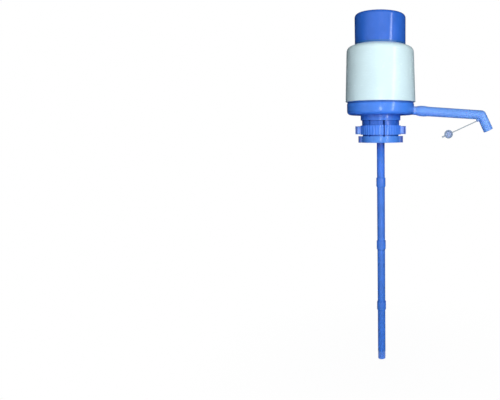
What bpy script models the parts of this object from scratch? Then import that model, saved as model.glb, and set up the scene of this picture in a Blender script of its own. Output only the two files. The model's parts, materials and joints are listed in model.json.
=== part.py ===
"""Water jug hand pump: a press cap over a bellows, a slotted neck clamp, a dip tube and a spout.

Metres, +Z up. The origin is on the pump's axis at the height of the jug's lip, where the gasket seals.
+X is the spout's side and -Y the front. Pushing the cap drives air through the valve plate into the
jug, and the air lifts water through the dip tube, the riser and the sloping duct into the spout.
"""

from math import cos, pi, radians, sin, tan

import bmesh
import bpy
from mathutils import Matrix, Vector

# Fits
CLEARANCE = 0.0003
OVERRUN = 0.002
WELD = 0.000001

# Facets
ROUND_SIDES = 36
INNER_SIDES = 24
TUBE_SIDES = 18
SMALL_SIDES = 10
FILLET_STEPS = 3

# Jug neck, which sets the width of the clamp
JUG_LIP_DIAMETER = 0.055
NECK_GASKET_THICKNESS = 0.005
NECK_GASKET_WIDTH = 0.0078

# Base moulding, which sets the width of the pump's head
BASE_DIAMETER = 0.117
BASE_DISC_HEIGHT = 0.0219
BASE_FLOOR = 0.0024
BASE_EDGE_FILLET = 0.006
BASE_INNER_FILLET = 0.003
UPSTAND_HEIGHT = 0.0068
UPSTAND_WALL = 0.0022
SNAP_BEAD = 0.0007
SNAP_BEAD_WIDTH = 0.0018
SNAP_BEAD_HEIGHT = 0.0032
SPIGOT_WALL = 0.003
SPIGOT_DEPTH = 0.0093
AIR_WELL_GAP = 0.0038
LEDGE_WIDTH = 0.0044
LEDGE_LIP = 0.0014
LEDGE_TAPER = 0.003
EDGE_BREAK = 0.0005

# Water duct, riser and nipple, moulded with the base
DUCT_SLOPE = radians(4.0)
DUCT_DIAMETER = 0.0127
DUCT_WALL = 0.00175
DUCT_OVER_FLOOR = 0.0116
RISER_CROWN = 0.0004
RISER_DEPTH = 0.0223
RISER_WALL = 0.0026
NIPPLE_COLLAR_STEP = 0.0011
NIPPLE_COLLAR_ROOT = 0.004
NIPPLE_COLLAR_REACH = 0.007
NIPPLE_LENGTH = 0.0165
WEB_THICKNESS = 0.002
WEB_REACH = 0.018

# Outlet seal
O_RING_GROOVE_DEPTH = 0.0012
O_RING_GROOVE_WIDTH = 0.0024
O_RING_GROOVE_PLACE = 0.0045
O_RING_SECTION = 0.0017
O_RING_POINTS = 6

# Screws that hold the clamp ring and the valve plate
SCREW_COUNT = 4
SCREW_DIAMETER = 0.003
SCREW_LENGTH = 0.020
SCREW_POINT = 0.0015
SCREW_HEAD_DIAMETER = 0.0056
SCREW_HEAD_HEIGHT = 0.0018
SCREW_HEAD_ROUND = 0.0008
SCREW_BOSS_WALL = 0.0016
SCREW_BOSS_GAP = 0.0014
SCREW_HOLE_SPARE = 0.0012

# Valve plate over the base
PLATE_THICKNESS = 0.0024
DECK_SEAL_THICKNESS = 0.0012
DECK_SEAL_WIDTH = 0.0034

# Umbrella valves and their holes
VALVE_SHARE = 0.26
VALVE_EDGE = 0.0008
VALVE_CROWN = 0.0011
VALVE_HUB_DIAMETER = 0.006
VALVE_STEM_DIAMETER = 0.0028
VALVE_BULB_DIAMETER = 0.0044
VALVE_BULB_HEIGHT = 0.0024
VALVE_BULB_BELLY = 0.0012
DELIVERY_VALVE_SHARE = 0.673
AIR_HOLE_COUNT = 6
AIR_HOLE_SHARE = 0.165
AIR_HOLE_CIRCLE_SHARE = 0.647

# Bellows and its clamp ring
BELLOWS_WALL = 0.0012
BELLOWS_FOLDS = 9
BELLOWS_FOLD_DEPTH = 0.0058
BELLOWS_FLANGE_WIDTH = 0.0045
BELLOWS_FLANGE_THICKNESS = 0.002
BELLOWS_FLANGE_GAP = 0.0017
BELLOWS_COLLAR_STEP = 0.0013
BELLOWS_COLLAR_HEIGHT = 0.0067
BELLOWS_COLLAR_WALL = 0.0027
CLAMP_RING_EDGE = 0.0045
CLAMP_RING_GAP = 0.0038
CLAMP_RING_THICKNESS = 0.002

# Return spring
SPRING_SHARE = 0.428
SPRING_WIRE = 0.0018
SPRING_ACTIVE_TURNS = 8
SPRING_TURN_POINTS = 8
SPRING_END_GAP = 0.0008
SPRING_BOSS_HEIGHT = 0.003
SPRING_BOSS_WALL = 0.0018

# Bellows top plate
TOP_PLATE_THICKNESS = 0.0022
TOP_PLATE_PLUG_DEPTH = 0.005
TOP_PLATE_PLUG_WALL = 0.0022

# Housing cover
HOUSING_OVERHANG = 0.0024
HOUSING_DRAFT = 0.0031
HOUSING_HEIGHT = 0.0952
HOUSING_SHOULDER_WIDTH = 0.0137
HOUSING_SHOULDER_DROP = 0.0051
HOUSING_MOUTH_LAND = 0.001
HOUSING_MOUTH_FILLET = 0.0012
HOUSING_SHOULDER_FILLET = 0.010
HOUSING_WALL = 0.0029
HOUSING_COLLAR_DEPTH = 0.0082
HOUSING_COLLAR_WALL = 0.0022
STOP_RIB_COUNT = 6
STOP_RIB_THICKNESS = 0.0018
STOP_RIB_FOOT = 0.0095
STOP_RIB_LAP = 0.0008

# Press cap
CAP_WALL = 0.0022
CAP_PROUD = 0.0527
CAP_CROWN = 0.0018
CAP_EDGE_FILLET = 0.006
CAP_SLIDE_GAP = 0.0005
CAP_FLANGE_WIDTH = 0.0043
CAP_FLANGE_THICKNESS = 0.0027
CAP_RIB_SHARE = 0.673
CAP_RIB_WALL = 0.002
CAP_RIB_DEPTH = 0.0042
PRESS_STROKE = 0.040

# Split neck collet
COLLET_PLAY = 0.0011
COLLET_WALL = 0.003
COLLET_BEAD = 0.0006
COLLET_BEAD_WIDTH = 0.0018
COLLET_BEAD_DROP = 0.003
FINGER_PLAY = 0.0028
FINGER_WALL = 0.0023
FINGER_TAPER = 0.0002
FINGER_COUNT = 8
FINGER_SLOT_WIDTH = 0.0027
FINGER_SLOT_TOP = 0.003
FINGER_SLOT_FOOT = 0.0008
FIRST_SLOT_ANGLE = radians(-80)
BORE_STEP_TOP = 0.0065
BORE_STEP_HEIGHT = 0.002
HOOK_TOP = 0.012
HOOK_BITE = 0.0008
HOOK_SLOPE = 0.0012
HOOK_LAND = 0.0018
HOOK_LEAD = 0.006
RIM_STEP = 0.001
RIM_HEIGHT = 0.0113
RIM_WEB = 0.0022
RIM_SKIRT = 0.0021
RIM_GUIDE_PLAY = 0.0007
RIM_GUIDE_WALL = 0.002
RIM_GUIDE_RISE = 0.0023
RIM_TAB_REACH = 0.0053

# Lock ring
RING_PLAY = 0.0004
RING_WALL = 0.0021
RING_HEIGHT = 0.016
RING_TRAVEL = 0.0088
RING_REST_GAP = 0.0024
RING_RIB_COUNT = 43
RING_RIB_DEPTH = 0.0004
RING_RIB_SHARE = 0.55
RING_MARK_WIDTH = 0.0018
RING_MARK_DEPTH = 0.0008
WING_REACH = 0.009
WING_DROP = 0.0012
WING_RISE = 0.0009
TAB_WIDTH = 0.016
TAB_FILLET = 0.003
TAB_WALL = 0.002

# Dip tube
TUBE_DIAMETER = 0.014
TUBE_WALL = 0.0011
BELL_WALL = 0.0009
BELL_DEPTH = 0.015
BELL_TAPER = 0.002
TUBE_PITCH = 0.1143
TUBE_COUNT = 4
LOWEST_TUBE_LENGTH = 0.1105

# Spout
SPOUT_GAP = 0.0004
SPOUT_LENGTH = 0.1115
SPOUT_DROP = 0.030
SPOUT_TURN_INSIDE = 0.0018
SPOUT_TURN_ANGLE = radians(60.4)
SPOUT_TURN_STEPS = 5
SPOUT_BORE_STEP = 0.0017
SPOUT_ROOT_WALL = 0.002
SPOUT_TURN_WALL = 0.0018
SPOUT_TIP_WALL = 0.0022
SPOUT_TIP_FILLET = 0.0008
SPOUT_SEAL_STEP = 0.0007
SPOUT_SEAL_DEPTH = 0.012
SPOUT_MOUTH_WALL = 0.0017
SPOUT_BELL_WALL = 0.0021
SPOUT_BELL_LENGTH = 0.0115
SPOUT_BELL_TAPER = 0.006

# Strap ears under the spout
EAR_PIN_DROP = 0.0022
EAR_RADIUS = 0.0019
EAR_THICKNESS = 0.0014
EAR_ROOT = 0.0010

# Outlet cap with its strap and pull tab
STRAP_ANGLE = radians(24.6)
STRAP_LENGTH = 0.0557
STRAP_THICKNESS = 0.0018
STRAP_WIDTH = 0.002
STRAP_EYE_DIAMETER = 0.0032
STRAP_EYE_WIDTH = 0.0032
STRAP_PIN_DIAMETER = 0.0018
STOPPER_LIP = 0.0015
STOPPER_FLANGE_THICKNESS = 0.002
STOPPER_PLUG_LENGTH = 0.008
STOPPER_WALL = 0.0014
STOPPER_HUB_DIAMETER = 0.0044
PULL_TAB_REACH = 0.0125
PULL_TAB_WIDTH = 0.003
PULL_TAB_THICKNESS = 0.0012

# Radii of the clamp, from the jug's neck outwards
JUG_LIP_RADIUS = JUG_LIP_DIAMETER / 2
RIM_GUIDE_RADIUS = JUG_LIP_RADIUS + RIM_GUIDE_PLAY
COLLET_BORE_RADIUS = JUG_LIP_RADIUS + COLLET_PLAY
COLLET_RADIUS = COLLET_BORE_RADIUS + COLLET_WALL
SPIGOT_BORE_RADIUS = COLLET_RADIUS + CLEARANCE
SPIGOT_RADIUS = SPIGOT_BORE_RADIUS + SPIGOT_WALL
FINGER_BORE_RADIUS = JUG_LIP_RADIUS + FINGER_PLAY
FINGER_RADIUS = FINGER_BORE_RADIUS + FINGER_WALL
FINGER_FOOT_RADIUS = FINGER_RADIUS + FINGER_TAPER
RIM_RADIUS = FINGER_FOOT_RADIUS + RIM_STEP
RING_BORE_RADIUS = FINGER_FOOT_RADIUS + RING_PLAY
RING_RADIUS = RING_BORE_RADIUS + RING_WALL

# Radii of the head, from the housing's foot inwards
BASE_RADIUS = BASE_DIAMETER / 2
HOUSING_FOOT_RADIUS = BASE_RADIUS + HOUSING_OVERHANG
HOUSING_SHOULDER_RADIUS = HOUSING_FOOT_RADIUS - HOUSING_DRAFT
MOUTH_RADIUS = HOUSING_SHOULDER_RADIUS - HOUSING_SHOULDER_WIDTH
CAP_RADIUS = MOUTH_RADIUS - CAP_SLIDE_GAP
UPSTAND_RADIUS = HOUSING_FOOT_RADIUS - HOUSING_WALL - CLEARANCE
BASE_BORE_RADIUS = UPSTAND_RADIUS - UPSTAND_WALL
PLATE_RADIUS = BASE_BORE_RADIUS - CLEARANCE
LEDGE_RADIUS = BASE_BORE_RADIUS - LEDGE_WIDTH
SCREW_HOLE_RADIUS = SCREW_DIAMETER / 2 + CLEARANCE
SCREW_BOSS_RADIUS = SCREW_HOLE_RADIUS + SCREW_BOSS_WALL
SCREW_CIRCLE_RADIUS = PLATE_RADIUS - DECK_SEAL_WIDTH - SCREW_BOSS_GAP - SCREW_BOSS_RADIUS
CLAMP_RING_RADIUS = SCREW_CIRCLE_RADIUS + CLAMP_RING_EDGE
BELLOWS_FLANGE_RADIUS = SCREW_CIRCLE_RADIUS - SCREW_HOLE_RADIUS - BELLOWS_FLANGE_GAP
BELLOWS_CREST_RADIUS = BELLOWS_FLANGE_RADIUS - BELLOWS_FLANGE_WIDTH
BELLOWS_ROOT_RADIUS = BELLOWS_CREST_RADIUS - BELLOWS_FOLD_DEPTH
BELLOWS_COLLAR_RADIUS = BELLOWS_ROOT_RADIUS + BELLOWS_COLLAR_STEP
CLAMP_RING_BORE_RADIUS = BELLOWS_ROOT_RADIUS + CLAMP_RING_GAP

# Radii inside the bellows, as shares of its root
CAP_RIB_RADIUS = CAP_RIB_SHARE * BELLOWS_ROOT_RADIUS
SPRING_RADIUS = SPRING_SHARE * BELLOWS_ROOT_RADIUS
SPRING_BOSS_RADIUS = SPRING_RADIUS * cos(pi / SPRING_TURN_POINTS) - SPRING_WIRE / 2 - CLEARANCE
DELIVERY_VALVE_OFFSET = DELIVERY_VALVE_SHARE * BELLOWS_ROOT_RADIUS
VALVE_RADIUS = VALVE_SHARE * BELLOWS_ROOT_RADIUS
AIR_HOLE_RADIUS = AIR_HOLE_SHARE * VALVE_RADIUS
AIR_HOLE_CIRCLE_RADIUS = AIR_HOLE_CIRCLE_SHARE * VALVE_RADIUS
PIN_HOLE_RADIUS = VALVE_STEM_DIAMETER / 2 + CLEARANCE

# Radii of the waterway
TUBE_RADIUS = TUBE_DIAMETER / 2
BELL_BORE_RADIUS = TUBE_RADIUS + CLEARANCE
BELL_RADIUS = BELL_BORE_RADIUS + BELL_WALL
AIR_WELL_RADIUS = BELL_RADIUS + AIR_WELL_GAP
DUCT_RADIUS = DUCT_DIAMETER / 2
DUCT_BORE_RADIUS = DUCT_RADIUS - DUCT_WALL
RISER_BORE_RADIUS = TUBE_RADIUS - RISER_WALL
SPOUT_BORE_RADIUS = DUCT_BORE_RADIUS + SPOUT_BORE_STEP
SPOUT_NECK_RADIUS = SPOUT_BORE_RADIUS + SPOUT_TURN_WALL
SPOUT_SEAL_RADIUS = DUCT_RADIUS + SPOUT_SEAL_STEP

# Distances along the duct
NIPPLE_COLLAR_END = BASE_RADIUS + NIPPLE_COLLAR_REACH
NIPPLE_END = NIPPLE_COLLAR_END + NIPPLE_LENGTH
SPOUT_START = NIPPLE_COLLAR_END + SPOUT_GAP
SPOUT_CORNER = SPOUT_START + SPOUT_LENGTH
SPOUT_TURN_RADIUS = SPOUT_NECK_RADIUS + SPOUT_TURN_INSIDE
SPOUT_TURN_TANGENT = SPOUT_TURN_RADIUS * tan(SPOUT_TURN_ANGLE / 2)
SPOUT_TURN_START = SPOUT_CORNER - SPOUT_TURN_TANGENT

# Heights, from the jug's lip
FLOOR_UNDER = NECK_GASKET_THICKNESS + CLEARANCE
FLOOR_TOP = FLOOR_UNDER + BASE_FLOOR
BASE_SHOULDER = FLOOR_UNDER + BASE_DISC_HEIGHT
UPSTAND_TOP = BASE_SHOULDER + UPSTAND_HEIGHT
SPIGOT_FOOT = FLOOR_UNDER - SPIGOT_DEPTH
RING_TOP = SPIGOT_FOOT - RING_TRAVEL
RING_FOOT = RING_TOP - RING_HEIGHT
RIM_TOP = RING_FOOT - RING_REST_GAP
RIM_FOOT = RIM_TOP - RIM_HEIGHT
DUCT_HEIGHT = FLOOR_UNDER + DUCT_OVER_FLOOR
RISER_TOP = DUCT_HEIGHT + DUCT_RADIUS + RISER_CROWN
RISER_FOOT = DUCT_HEIGHT - RISER_DEPTH
TUBE_TOP = RISER_FOOT - CLEARANCE + BELL_DEPTH
PLATE_UNDER = RISER_TOP + CLEARANCE
PLATE_TOP = PLATE_UNDER + PLATE_THICKNESS
LEDGE_TOP = PLATE_UNDER - DECK_SEAL_THICKNESS - 2 * CLEARANCE
BELLOWS_FOOT = PLATE_TOP + CLEARANCE
CLAMP_TOP = BELLOWS_FOOT + BELLOWS_FLANGE_THICKNESS + CLEARANCE + CLAMP_RING_THICKNESS
HOUSING_FOOT = BASE_SHOULDER + CLEARANCE
HOUSING_TOP = HOUSING_FOOT + HOUSING_HEIGHT
CAP_TOP = HOUSING_TOP + CAP_PROUD
CAP_FLANGE_TOP = HOUSING_TOP - HOUSING_COLLAR_DEPTH - CLEARANCE
CAP_FLANGE_UNDER = CAP_FLANGE_TOP - CAP_FLANGE_THICKNESS
STOP_RIB_TOP = CAP_FLANGE_UNDER - PRESS_STROKE - CLEARANCE
TOP_PLATE_TOP = CAP_TOP - CAP_WALL - CAP_RIB_DEPTH - CLEARANCE
TOP_PLATE_UNDER = TOP_PLATE_TOP - TOP_PLATE_THICKNESS
BELLOWS_TOP = TOP_PLATE_UNDER - CLEARANCE


def linear(shade):
    """One sRGB channel from 0 to 255, as scene-linear light."""
    part = shade / 255
    return part / 12.92 if part <= 0.04045 else ((part + 0.055) / 1.055) ** 2.4


def plastic(name, shades, roughness, clear_share=0.0):
    """A moulded plastic in the photographed colour."""
    material = bpy.data.materials.new(name)
    material.use_nodes = True
    shader = material.node_tree.nodes["Principled BSDF"]
    shader.inputs["Base Color"].default_value = (*(linear(shade) for shade in shades), 1)
    shader.inputs["Roughness"].default_value = roughness
    shader.inputs["Metallic"].default_value = 0
    shader.inputs["Transmission Weight"].default_value = clear_share
    return material


def steel(name):
    """Plain bright steel, for the screws and the spring."""
    material = plastic(name, (188, 190, 194), 0.3)
    material.node_tree.nodes["Principled BSDF"].inputs["Metallic"].default_value = 1
    return material


def rounded(corners):
    """Outline points from (x, y) corners and (x, y, fillet) corners, each fillet an arc."""
    points = []
    for i, corner in enumerate(corners):
        here = Vector(corner[:2])
        if len(corner) == 2:
            points.append(tuple(here))
            continue
        back = (Vector(corners[i - 1][:2]) - here).normalized()
        ahead = (Vector(corners[(i + 1) % len(corners)][:2]) - here).normalized()
        half = back.angle(ahead) / 2
        centre = here + (back + ahead).normalized() * corner[2] / sin(half)
        start = here + back * corner[2] / tan(half) - centre
        turn = start.angle_signed(here + ahead * corner[2] / tan(half) - centre)
        for step in range(FILLET_STEPS + 1):
            share = step / FILLET_STEPS
            spoke = start.copy()
            spoke.rotate(Matrix.Rotation(-turn * share, 2))
            points.append(tuple(centre + spoke))
    return points


def placed(name, mesh_data, material=None):
    """A new object holding this bmesh, shaded smooth between its sharp edges."""
    bmesh.ops.remove_doubles(mesh_data, verts=mesh_data.verts, dist=WELD)
    bmesh.ops.recalc_face_normals(mesh_data, faces=mesh_data.faces)
    mesh = bpy.data.meshes.new(name)
    mesh_data.to_mesh(mesh)
    mesh_data.free()
    body = bpy.data.objects.new(name, mesh)
    bpy.context.scene.collection.objects.link(body)
    if material:
        mesh.materials.append(material)
    return body


def turned(name, corners, sides, material=None, centre=(0, 0)):
    """A solid of revolution about a vertical through centre, from (radius, height) corners."""
    shape = bmesh.new()
    points = [shape.verts.new((radius, 0, height)) for radius, height in rounded(corners)]
    pairs = zip(points, points[1:] + points[:1])
    edges = [shape.edges.new(pair) for pair in pairs if any(point.co.x > WELD for point in pair)]
    bmesh.ops.spin(
        shape,
        geom=points + edges,
        cent=(0, 0, 0),
        axis=(0, 0, 1),
        angle=2 * pi,
        steps=sides,
        use_merge=True,
    )
    bmesh.ops.translate(shape, verts=shape.verts, vec=(*centre, 0))
    return placed(name, shape, material)


def rod(start, end, radius, sides, name="rod"):
    """A round bar from start to end."""
    start, end = Vector(start), Vector(end)
    along = (end - start).to_track_quat("Z", "X").to_matrix().to_4x4()
    shape = bmesh.new()
    bmesh.ops.create_cone(
        shape,
        cap_ends=True,
        segments=sides,
        radius1=radius,
        radius2=radius,
        depth=(end - start).length,
        matrix=Matrix.Translation((start + end) / 2) @ along,
    )
    return placed(name, shape)


def block(low, high, turn=0, name="block"):
    """A box between two corners, turned about the pump's axis."""
    low, high = Vector(low), Vector(high)
    shape = bmesh.new()
    bmesh.ops.create_cube(shape, size=1)
    bmesh.ops.scale(shape, verts=shape.verts, vec=high - low)
    bmesh.ops.translate(shape, verts=shape.verts, vec=(low + high) / 2)
    bmesh.ops.rotate(shape, verts=shape.verts, matrix=Matrix.Rotation(turn, 3, "Z"))
    return placed(name, shape)


def prism(corners, low, high, turn=0, name="prism"):
    """An outline of (x, y) corners raised from low to high, turned about the pump's axis."""
    shape = bmesh.new()
    foot = shape.faces.new([shape.verts.new((x, y, low)) for x, y in rounded(corners)])
    raised = bmesh.ops.extrude_face_region(shape, geom=[foot])
    lifted = [item for item in raised["geom"] if isinstance(item, bmesh.types.BMVert)]
    bmesh.ops.translate(shape, verts=lifted, vec=(0, 0, high - low))
    bmesh.ops.rotate(shape, verts=shape.verts, matrix=Matrix.Rotation(turn, 3, "Z"))
    return placed(name, shape)


def lofted(name, loops, material=None):
    """A ring-shaped solid whose skin runs through these loops and back to the first."""
    shape = bmesh.new()
    rows = [[shape.verts.new(point) for point in loop] for loop in loops]
    for row, following in zip(rows, rows[1:] + rows[:1]):
        for i in range(len(row)):
            j = (i + 1) % len(row)
            shape.faces.new((row[i], row[j], following[j], following[i]))
    return placed(name, shape, material)


def reshape(body, tool, operation):
    """Joins a tool to the body or cuts it away, and removes the tool."""
    modifier = body.modifiers.new(operation.lower(), "BOOLEAN")
    modifier.operation = operation
    modifier.solver = "EXACT"
    modifier.object = tool
    shaped = bpy.data.meshes.new_from_object(body.evaluated_get(bpy.context.evaluated_depsgraph_get()))
    body.modifiers.remove(modifier)
    body.data = shaped
    bpy.data.objects.remove(tool)


def join(body, *tools):
    for tool in tools:
        reshape(body, tool, "UNION")


def cut(body, *tools):
    for tool in tools:
        reshape(body, tool, "DIFFERENCE")


def around(count, radius, first=0.0):
    """Angles and places evenly round the pump's axis."""
    for i in range(count):
        angle = first + 2 * pi * i / count
        yield angle, radius * cos(angle), radius * sin(angle)


def on_duct(distance, drop=0.0):
    """A point along the sloping duct's axis, or square below it."""
    return Vector(
        (
            distance * cos(DUCT_SLOPE) - drop * sin(DUCT_SLOPE),
            0,
            DUCT_HEIGHT - distance * sin(DUCT_SLOPE) - drop * cos(DUCT_SLOPE),
        )
    )


def along_path(name, corners, path, material=None):
    """A hollow solid from (distance, radius) corners swept round a path in the plane Y = 0."""
    loops = []
    for distance, radius in rounded(corners):
        centre, up = path(distance)
        spokes = [2 * pi * i / TUBE_SIDES for i in range(TUBE_SIDES)]
        loops.append([centre + radius * (cos(a) * up + sin(a) * Vector((0, 1, 0))) for a in spokes])
    return lofted(name, loops, material)


def straight_duct(distance):
    """Place on the duct's axis and the direction square to it."""
    return on_duct(distance), Vector((sin(DUCT_SLOPE), 0, cos(DUCT_SLOPE)))


def base_body(material):
    """Base disc, neck spigot, riser, sloping duct and nipple, moulded in one."""
    bead_top = BASE_SHOULDER + SNAP_BEAD_HEIGHT + SNAP_BEAD_WIDTH
    groove_low = FLOOR_UNDER - CLEARANCE - COLLET_BEAD_DROP - COLLET_BEAD_WIDTH - CLEARANCE
    groove_high = groove_low + COLLET_BEAD_WIDTH + 2 * CLEARANCE
    body = turned(
        "base_body",
        [
            (UPSTAND_RADIUS, UPSTAND_TOP),
            (UPSTAND_RADIUS, bead_top),
            (UPSTAND_RADIUS + SNAP_BEAD, bead_top - SNAP_BEAD),
            (UPSTAND_RADIUS + SNAP_BEAD, bead_top - SNAP_BEAD_WIDTH + SNAP_BEAD),
            (UPSTAND_RADIUS, bead_top - SNAP_BEAD_WIDTH),
            (UPSTAND_RADIUS, BASE_SHOULDER),
            (BASE_RADIUS, BASE_SHOULDER),
            (BASE_RADIUS, FLOOR_UNDER, BASE_EDGE_FILLET),
            (SPIGOT_RADIUS, FLOOR_UNDER),
            (SPIGOT_RADIUS, SPIGOT_FOOT + EDGE_BREAK),
            (SPIGOT_RADIUS - EDGE_BREAK, SPIGOT_FOOT),
            (SPIGOT_BORE_RADIUS, SPIGOT_FOOT),
            (SPIGOT_BORE_RADIUS, groove_low),
            (SPIGOT_BORE_RADIUS + COLLET_BEAD, groove_low),
            (SPIGOT_BORE_RADIUS + COLLET_BEAD, groove_high),
            (SPIGOT_BORE_RADIUS, groove_high),
            (SPIGOT_BORE_RADIUS, FLOOR_UNDER),
            (AIR_WELL_RADIUS, FLOOR_UNDER),
            (AIR_WELL_RADIUS, FLOOR_TOP),
            (BASE_BORE_RADIUS, FLOOR_TOP, BASE_INNER_FILLET),
            (BASE_BORE_RADIUS, LEDGE_TOP - LEDGE_LIP - LEDGE_TAPER),
            (LEDGE_RADIUS, LEDGE_TOP - LEDGE_LIP),
            (LEDGE_RADIUS, LEDGE_TOP),
            (BASE_BORE_RADIUS, LEDGE_TOP),
            (BASE_BORE_RADIUS, UPSTAND_TOP),
        ],
        ROUND_SIDES,
        material,
    )
    web_low = FLOOR_UNDER + BASE_FLOOR / 2
    collar_ends = on_duct(BASE_RADIUS - NIPPLE_COLLAR_ROOT), on_duct(NIPPLE_COLLAR_END)
    join(
        body,
        rod((0, 0, RISER_FOOT), (0, 0, RISER_TOP), TUBE_RADIUS, TUBE_SIDES),
        rod(on_duct(0), on_duct(NIPPLE_END), DUCT_RADIUS, TUBE_SIDES),
        rod(*collar_ends, DUCT_RADIUS + NIPPLE_COLLAR_STEP, TUBE_SIDES),
        block(
            (BELL_RADIUS + OVERRUN, -WEB_THICKNESS / 2, web_low),
            (BASE_BORE_RADIUS, WEB_THICKNESS / 2, on_duct(BASE_BORE_RADIUS).z),
        ),
    )
    for side in (-1, 1):
        join(
            body,
            block(
                (-WEB_THICKNESS / 2, min(side * WEB_REACH, 0), TUBE_TOP + OVERRUN),
                (WEB_THICKNESS / 2, max(side * WEB_REACH, 0), DUCT_HEIGHT),
            ),
            block(
                (-WEB_THICKNESS / 2, min(side * WEB_REACH, side * AIR_WELL_RADIUS), web_low),
                (WEB_THICKNESS / 2, max(side * WEB_REACH, side * AIR_WELL_RADIUS), DUCT_HEIGHT),
            ),
        )
    screw_foot = CLAMP_TOP + CLEARANCE - SCREW_LENGTH - SCREW_HOLE_SPARE
    for _, x, y in around(SCREW_COUNT, SCREW_CIRCLE_RADIUS, pi / SCREW_COUNT):
        join(body, rod((x, y, web_low), (x, y, PLATE_UNDER - CLEARANCE), SCREW_BOSS_RADIUS, SMALL_SIDES))
        cut(body, rod((x, y, screw_foot), (x, y, PLATE_TOP), SCREW_HOLE_RADIUS, SMALL_SIDES))
    groove_start = NIPPLE_COLLAR_END + O_RING_GROOVE_PLACE
    groove = along_path(
        "groove",
        [
            (groove_start, DUCT_RADIUS + OVERRUN),
            (groove_start, DUCT_RADIUS - O_RING_GROOVE_DEPTH),
            (groove_start + O_RING_GROOVE_WIDTH, DUCT_RADIUS - O_RING_GROOVE_DEPTH),
            (groove_start + O_RING_GROOVE_WIDTH, DUCT_RADIUS + OVERRUN),
        ],
        straight_duct,
    )
    cut(
        body,
        groove,
        rod((0, 0, RISER_FOOT - OVERRUN), (0, 0, DUCT_HEIGHT), RISER_BORE_RADIUS, TUBE_SIDES),
        rod(on_duct(-RISER_BORE_RADIUS), on_duct(NIPPLE_END + OVERRUN), DUCT_BORE_RADIUS, TUBE_SIDES),
    )
    return body


def neck_gasket(material):
    """Flat seal between the jug's lip and the base, held inside the collet's sleeve."""
    outside = COLLET_BORE_RADIUS - CLEARANCE
    inside = outside - NECK_GASKET_WIDTH
    return turned(
        "neck_gasket",
        [
            (inside, 0),
            (outside, 0),
            (outside, NECK_GASKET_THICKNESS),
            (inside, NECK_GASKET_THICKNESS),
        ],
        INNER_SIDES,
        material,
    )


def tab_outline(root, reach, half_width, fillet):
    """A tab seen from above, its outer corners rounded."""
    return [
        (root, -half_width),
        (reach, -half_width, fillet),
        (reach, half_width, fillet),
        (root, half_width),
    ]


def side_tabs(body, root, reach, low, high):
    """Two finger tabs on opposite sides."""
    for turn in (0, pi):
        join(body, prism(tab_outline(root, reach, TAB_WIDTH / 2, TAB_FILLET), low, high, turn))


def tab_pockets(body, root, reach, low, high):
    """Hollows the two tabs from below, like the moulded ones."""
    half_width, fillet = TAB_WIDTH / 2 - TAB_WALL, TAB_FILLET - TAB_WALL
    pocket = tab_outline(root + TAB_WALL, reach - TAB_WALL, half_width, fillet)
    for turn in (0, pi):
        cut(body, prism(pocket, low - OVERRUN, high - TAB_WALL, turn))


def neck_collet(material):
    """Slotted collet: a sleeve that snaps into the spigot, eight hooked fingers and a hollow rim."""
    sleeve_top = FLOOR_UNDER - CLEARANCE
    bead_top = sleeve_top - COLLET_BEAD_DROP
    shoulder = SPIGOT_FOOT - CLEARANCE
    hook_radius = JUG_LIP_RADIUS - HOOK_BITE
    guide_foot = RIM_FOOT + RIM_GUIDE_RISE
    body = turned(
        "neck_collet",
        [
            (COLLET_RADIUS, sleeve_top),
            (COLLET_RADIUS, bead_top),
            (COLLET_RADIUS + COLLET_BEAD, bead_top - COLLET_BEAD),
            (COLLET_RADIUS + COLLET_BEAD, bead_top - COLLET_BEAD_WIDTH),
            (COLLET_RADIUS, bead_top - COLLET_BEAD_WIDTH),
            (COLLET_RADIUS, shoulder),
            (FINGER_RADIUS, shoulder),
            (FINGER_FOOT_RADIUS, RIM_TOP),
            (RIM_RADIUS, RIM_TOP),
            (RIM_RADIUS, RIM_FOOT),
            (RIM_RADIUS - RIM_SKIRT, RIM_FOOT),
            (RIM_RADIUS - RIM_SKIRT, RIM_TOP - RIM_WEB),
            (RIM_GUIDE_RADIUS + RIM_GUIDE_WALL, RIM_TOP - RIM_WEB),
            (RIM_GUIDE_RADIUS + RIM_GUIDE_WALL, guide_foot),
            (RIM_GUIDE_RADIUS + EDGE_BREAK, guide_foot),
            (RIM_GUIDE_RADIUS, guide_foot + EDGE_BREAK),
            (RIM_GUIDE_RADIUS, RIM_TOP),
            (FINGER_BORE_RADIUS, RIM_TOP + RIM_GUIDE_WALL),
            (FINGER_BORE_RADIUS, -HOOK_TOP - HOOK_SLOPE - HOOK_LAND - HOOK_LEAD),
            (hook_radius, -HOOK_TOP - HOOK_SLOPE - HOOK_LAND),
            (hook_radius, -HOOK_TOP - HOOK_SLOPE),
            (FINGER_BORE_RADIUS, -HOOK_TOP),
            (FINGER_BORE_RADIUS, -BORE_STEP_TOP - BORE_STEP_HEIGHT),
            (COLLET_BORE_RADIUS, -BORE_STEP_TOP),
            (COLLET_BORE_RADIUS, sleeve_top),
        ],
        ROUND_SIDES,
        material,
    )
    side_tabs(body, RIM_RADIUS - RIM_SKIRT / 2, RIM_RADIUS + RIM_TAB_REACH, RIM_FOOT, RIM_TOP)
    for angle, _, _ in around(FINGER_COUNT, 0, FIRST_SLOT_ANGLE):
        cut(
            body,
            block(
                (hook_radius - OVERRUN, -FINGER_SLOT_WIDTH / 2, RIM_TOP - FINGER_SLOT_FOOT),
                (RIM_RADIUS + OVERRUN, FINGER_SLOT_WIDTH / 2, -FINGER_SLOT_TOP),
                angle,
            ),
        )
    return body


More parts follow.
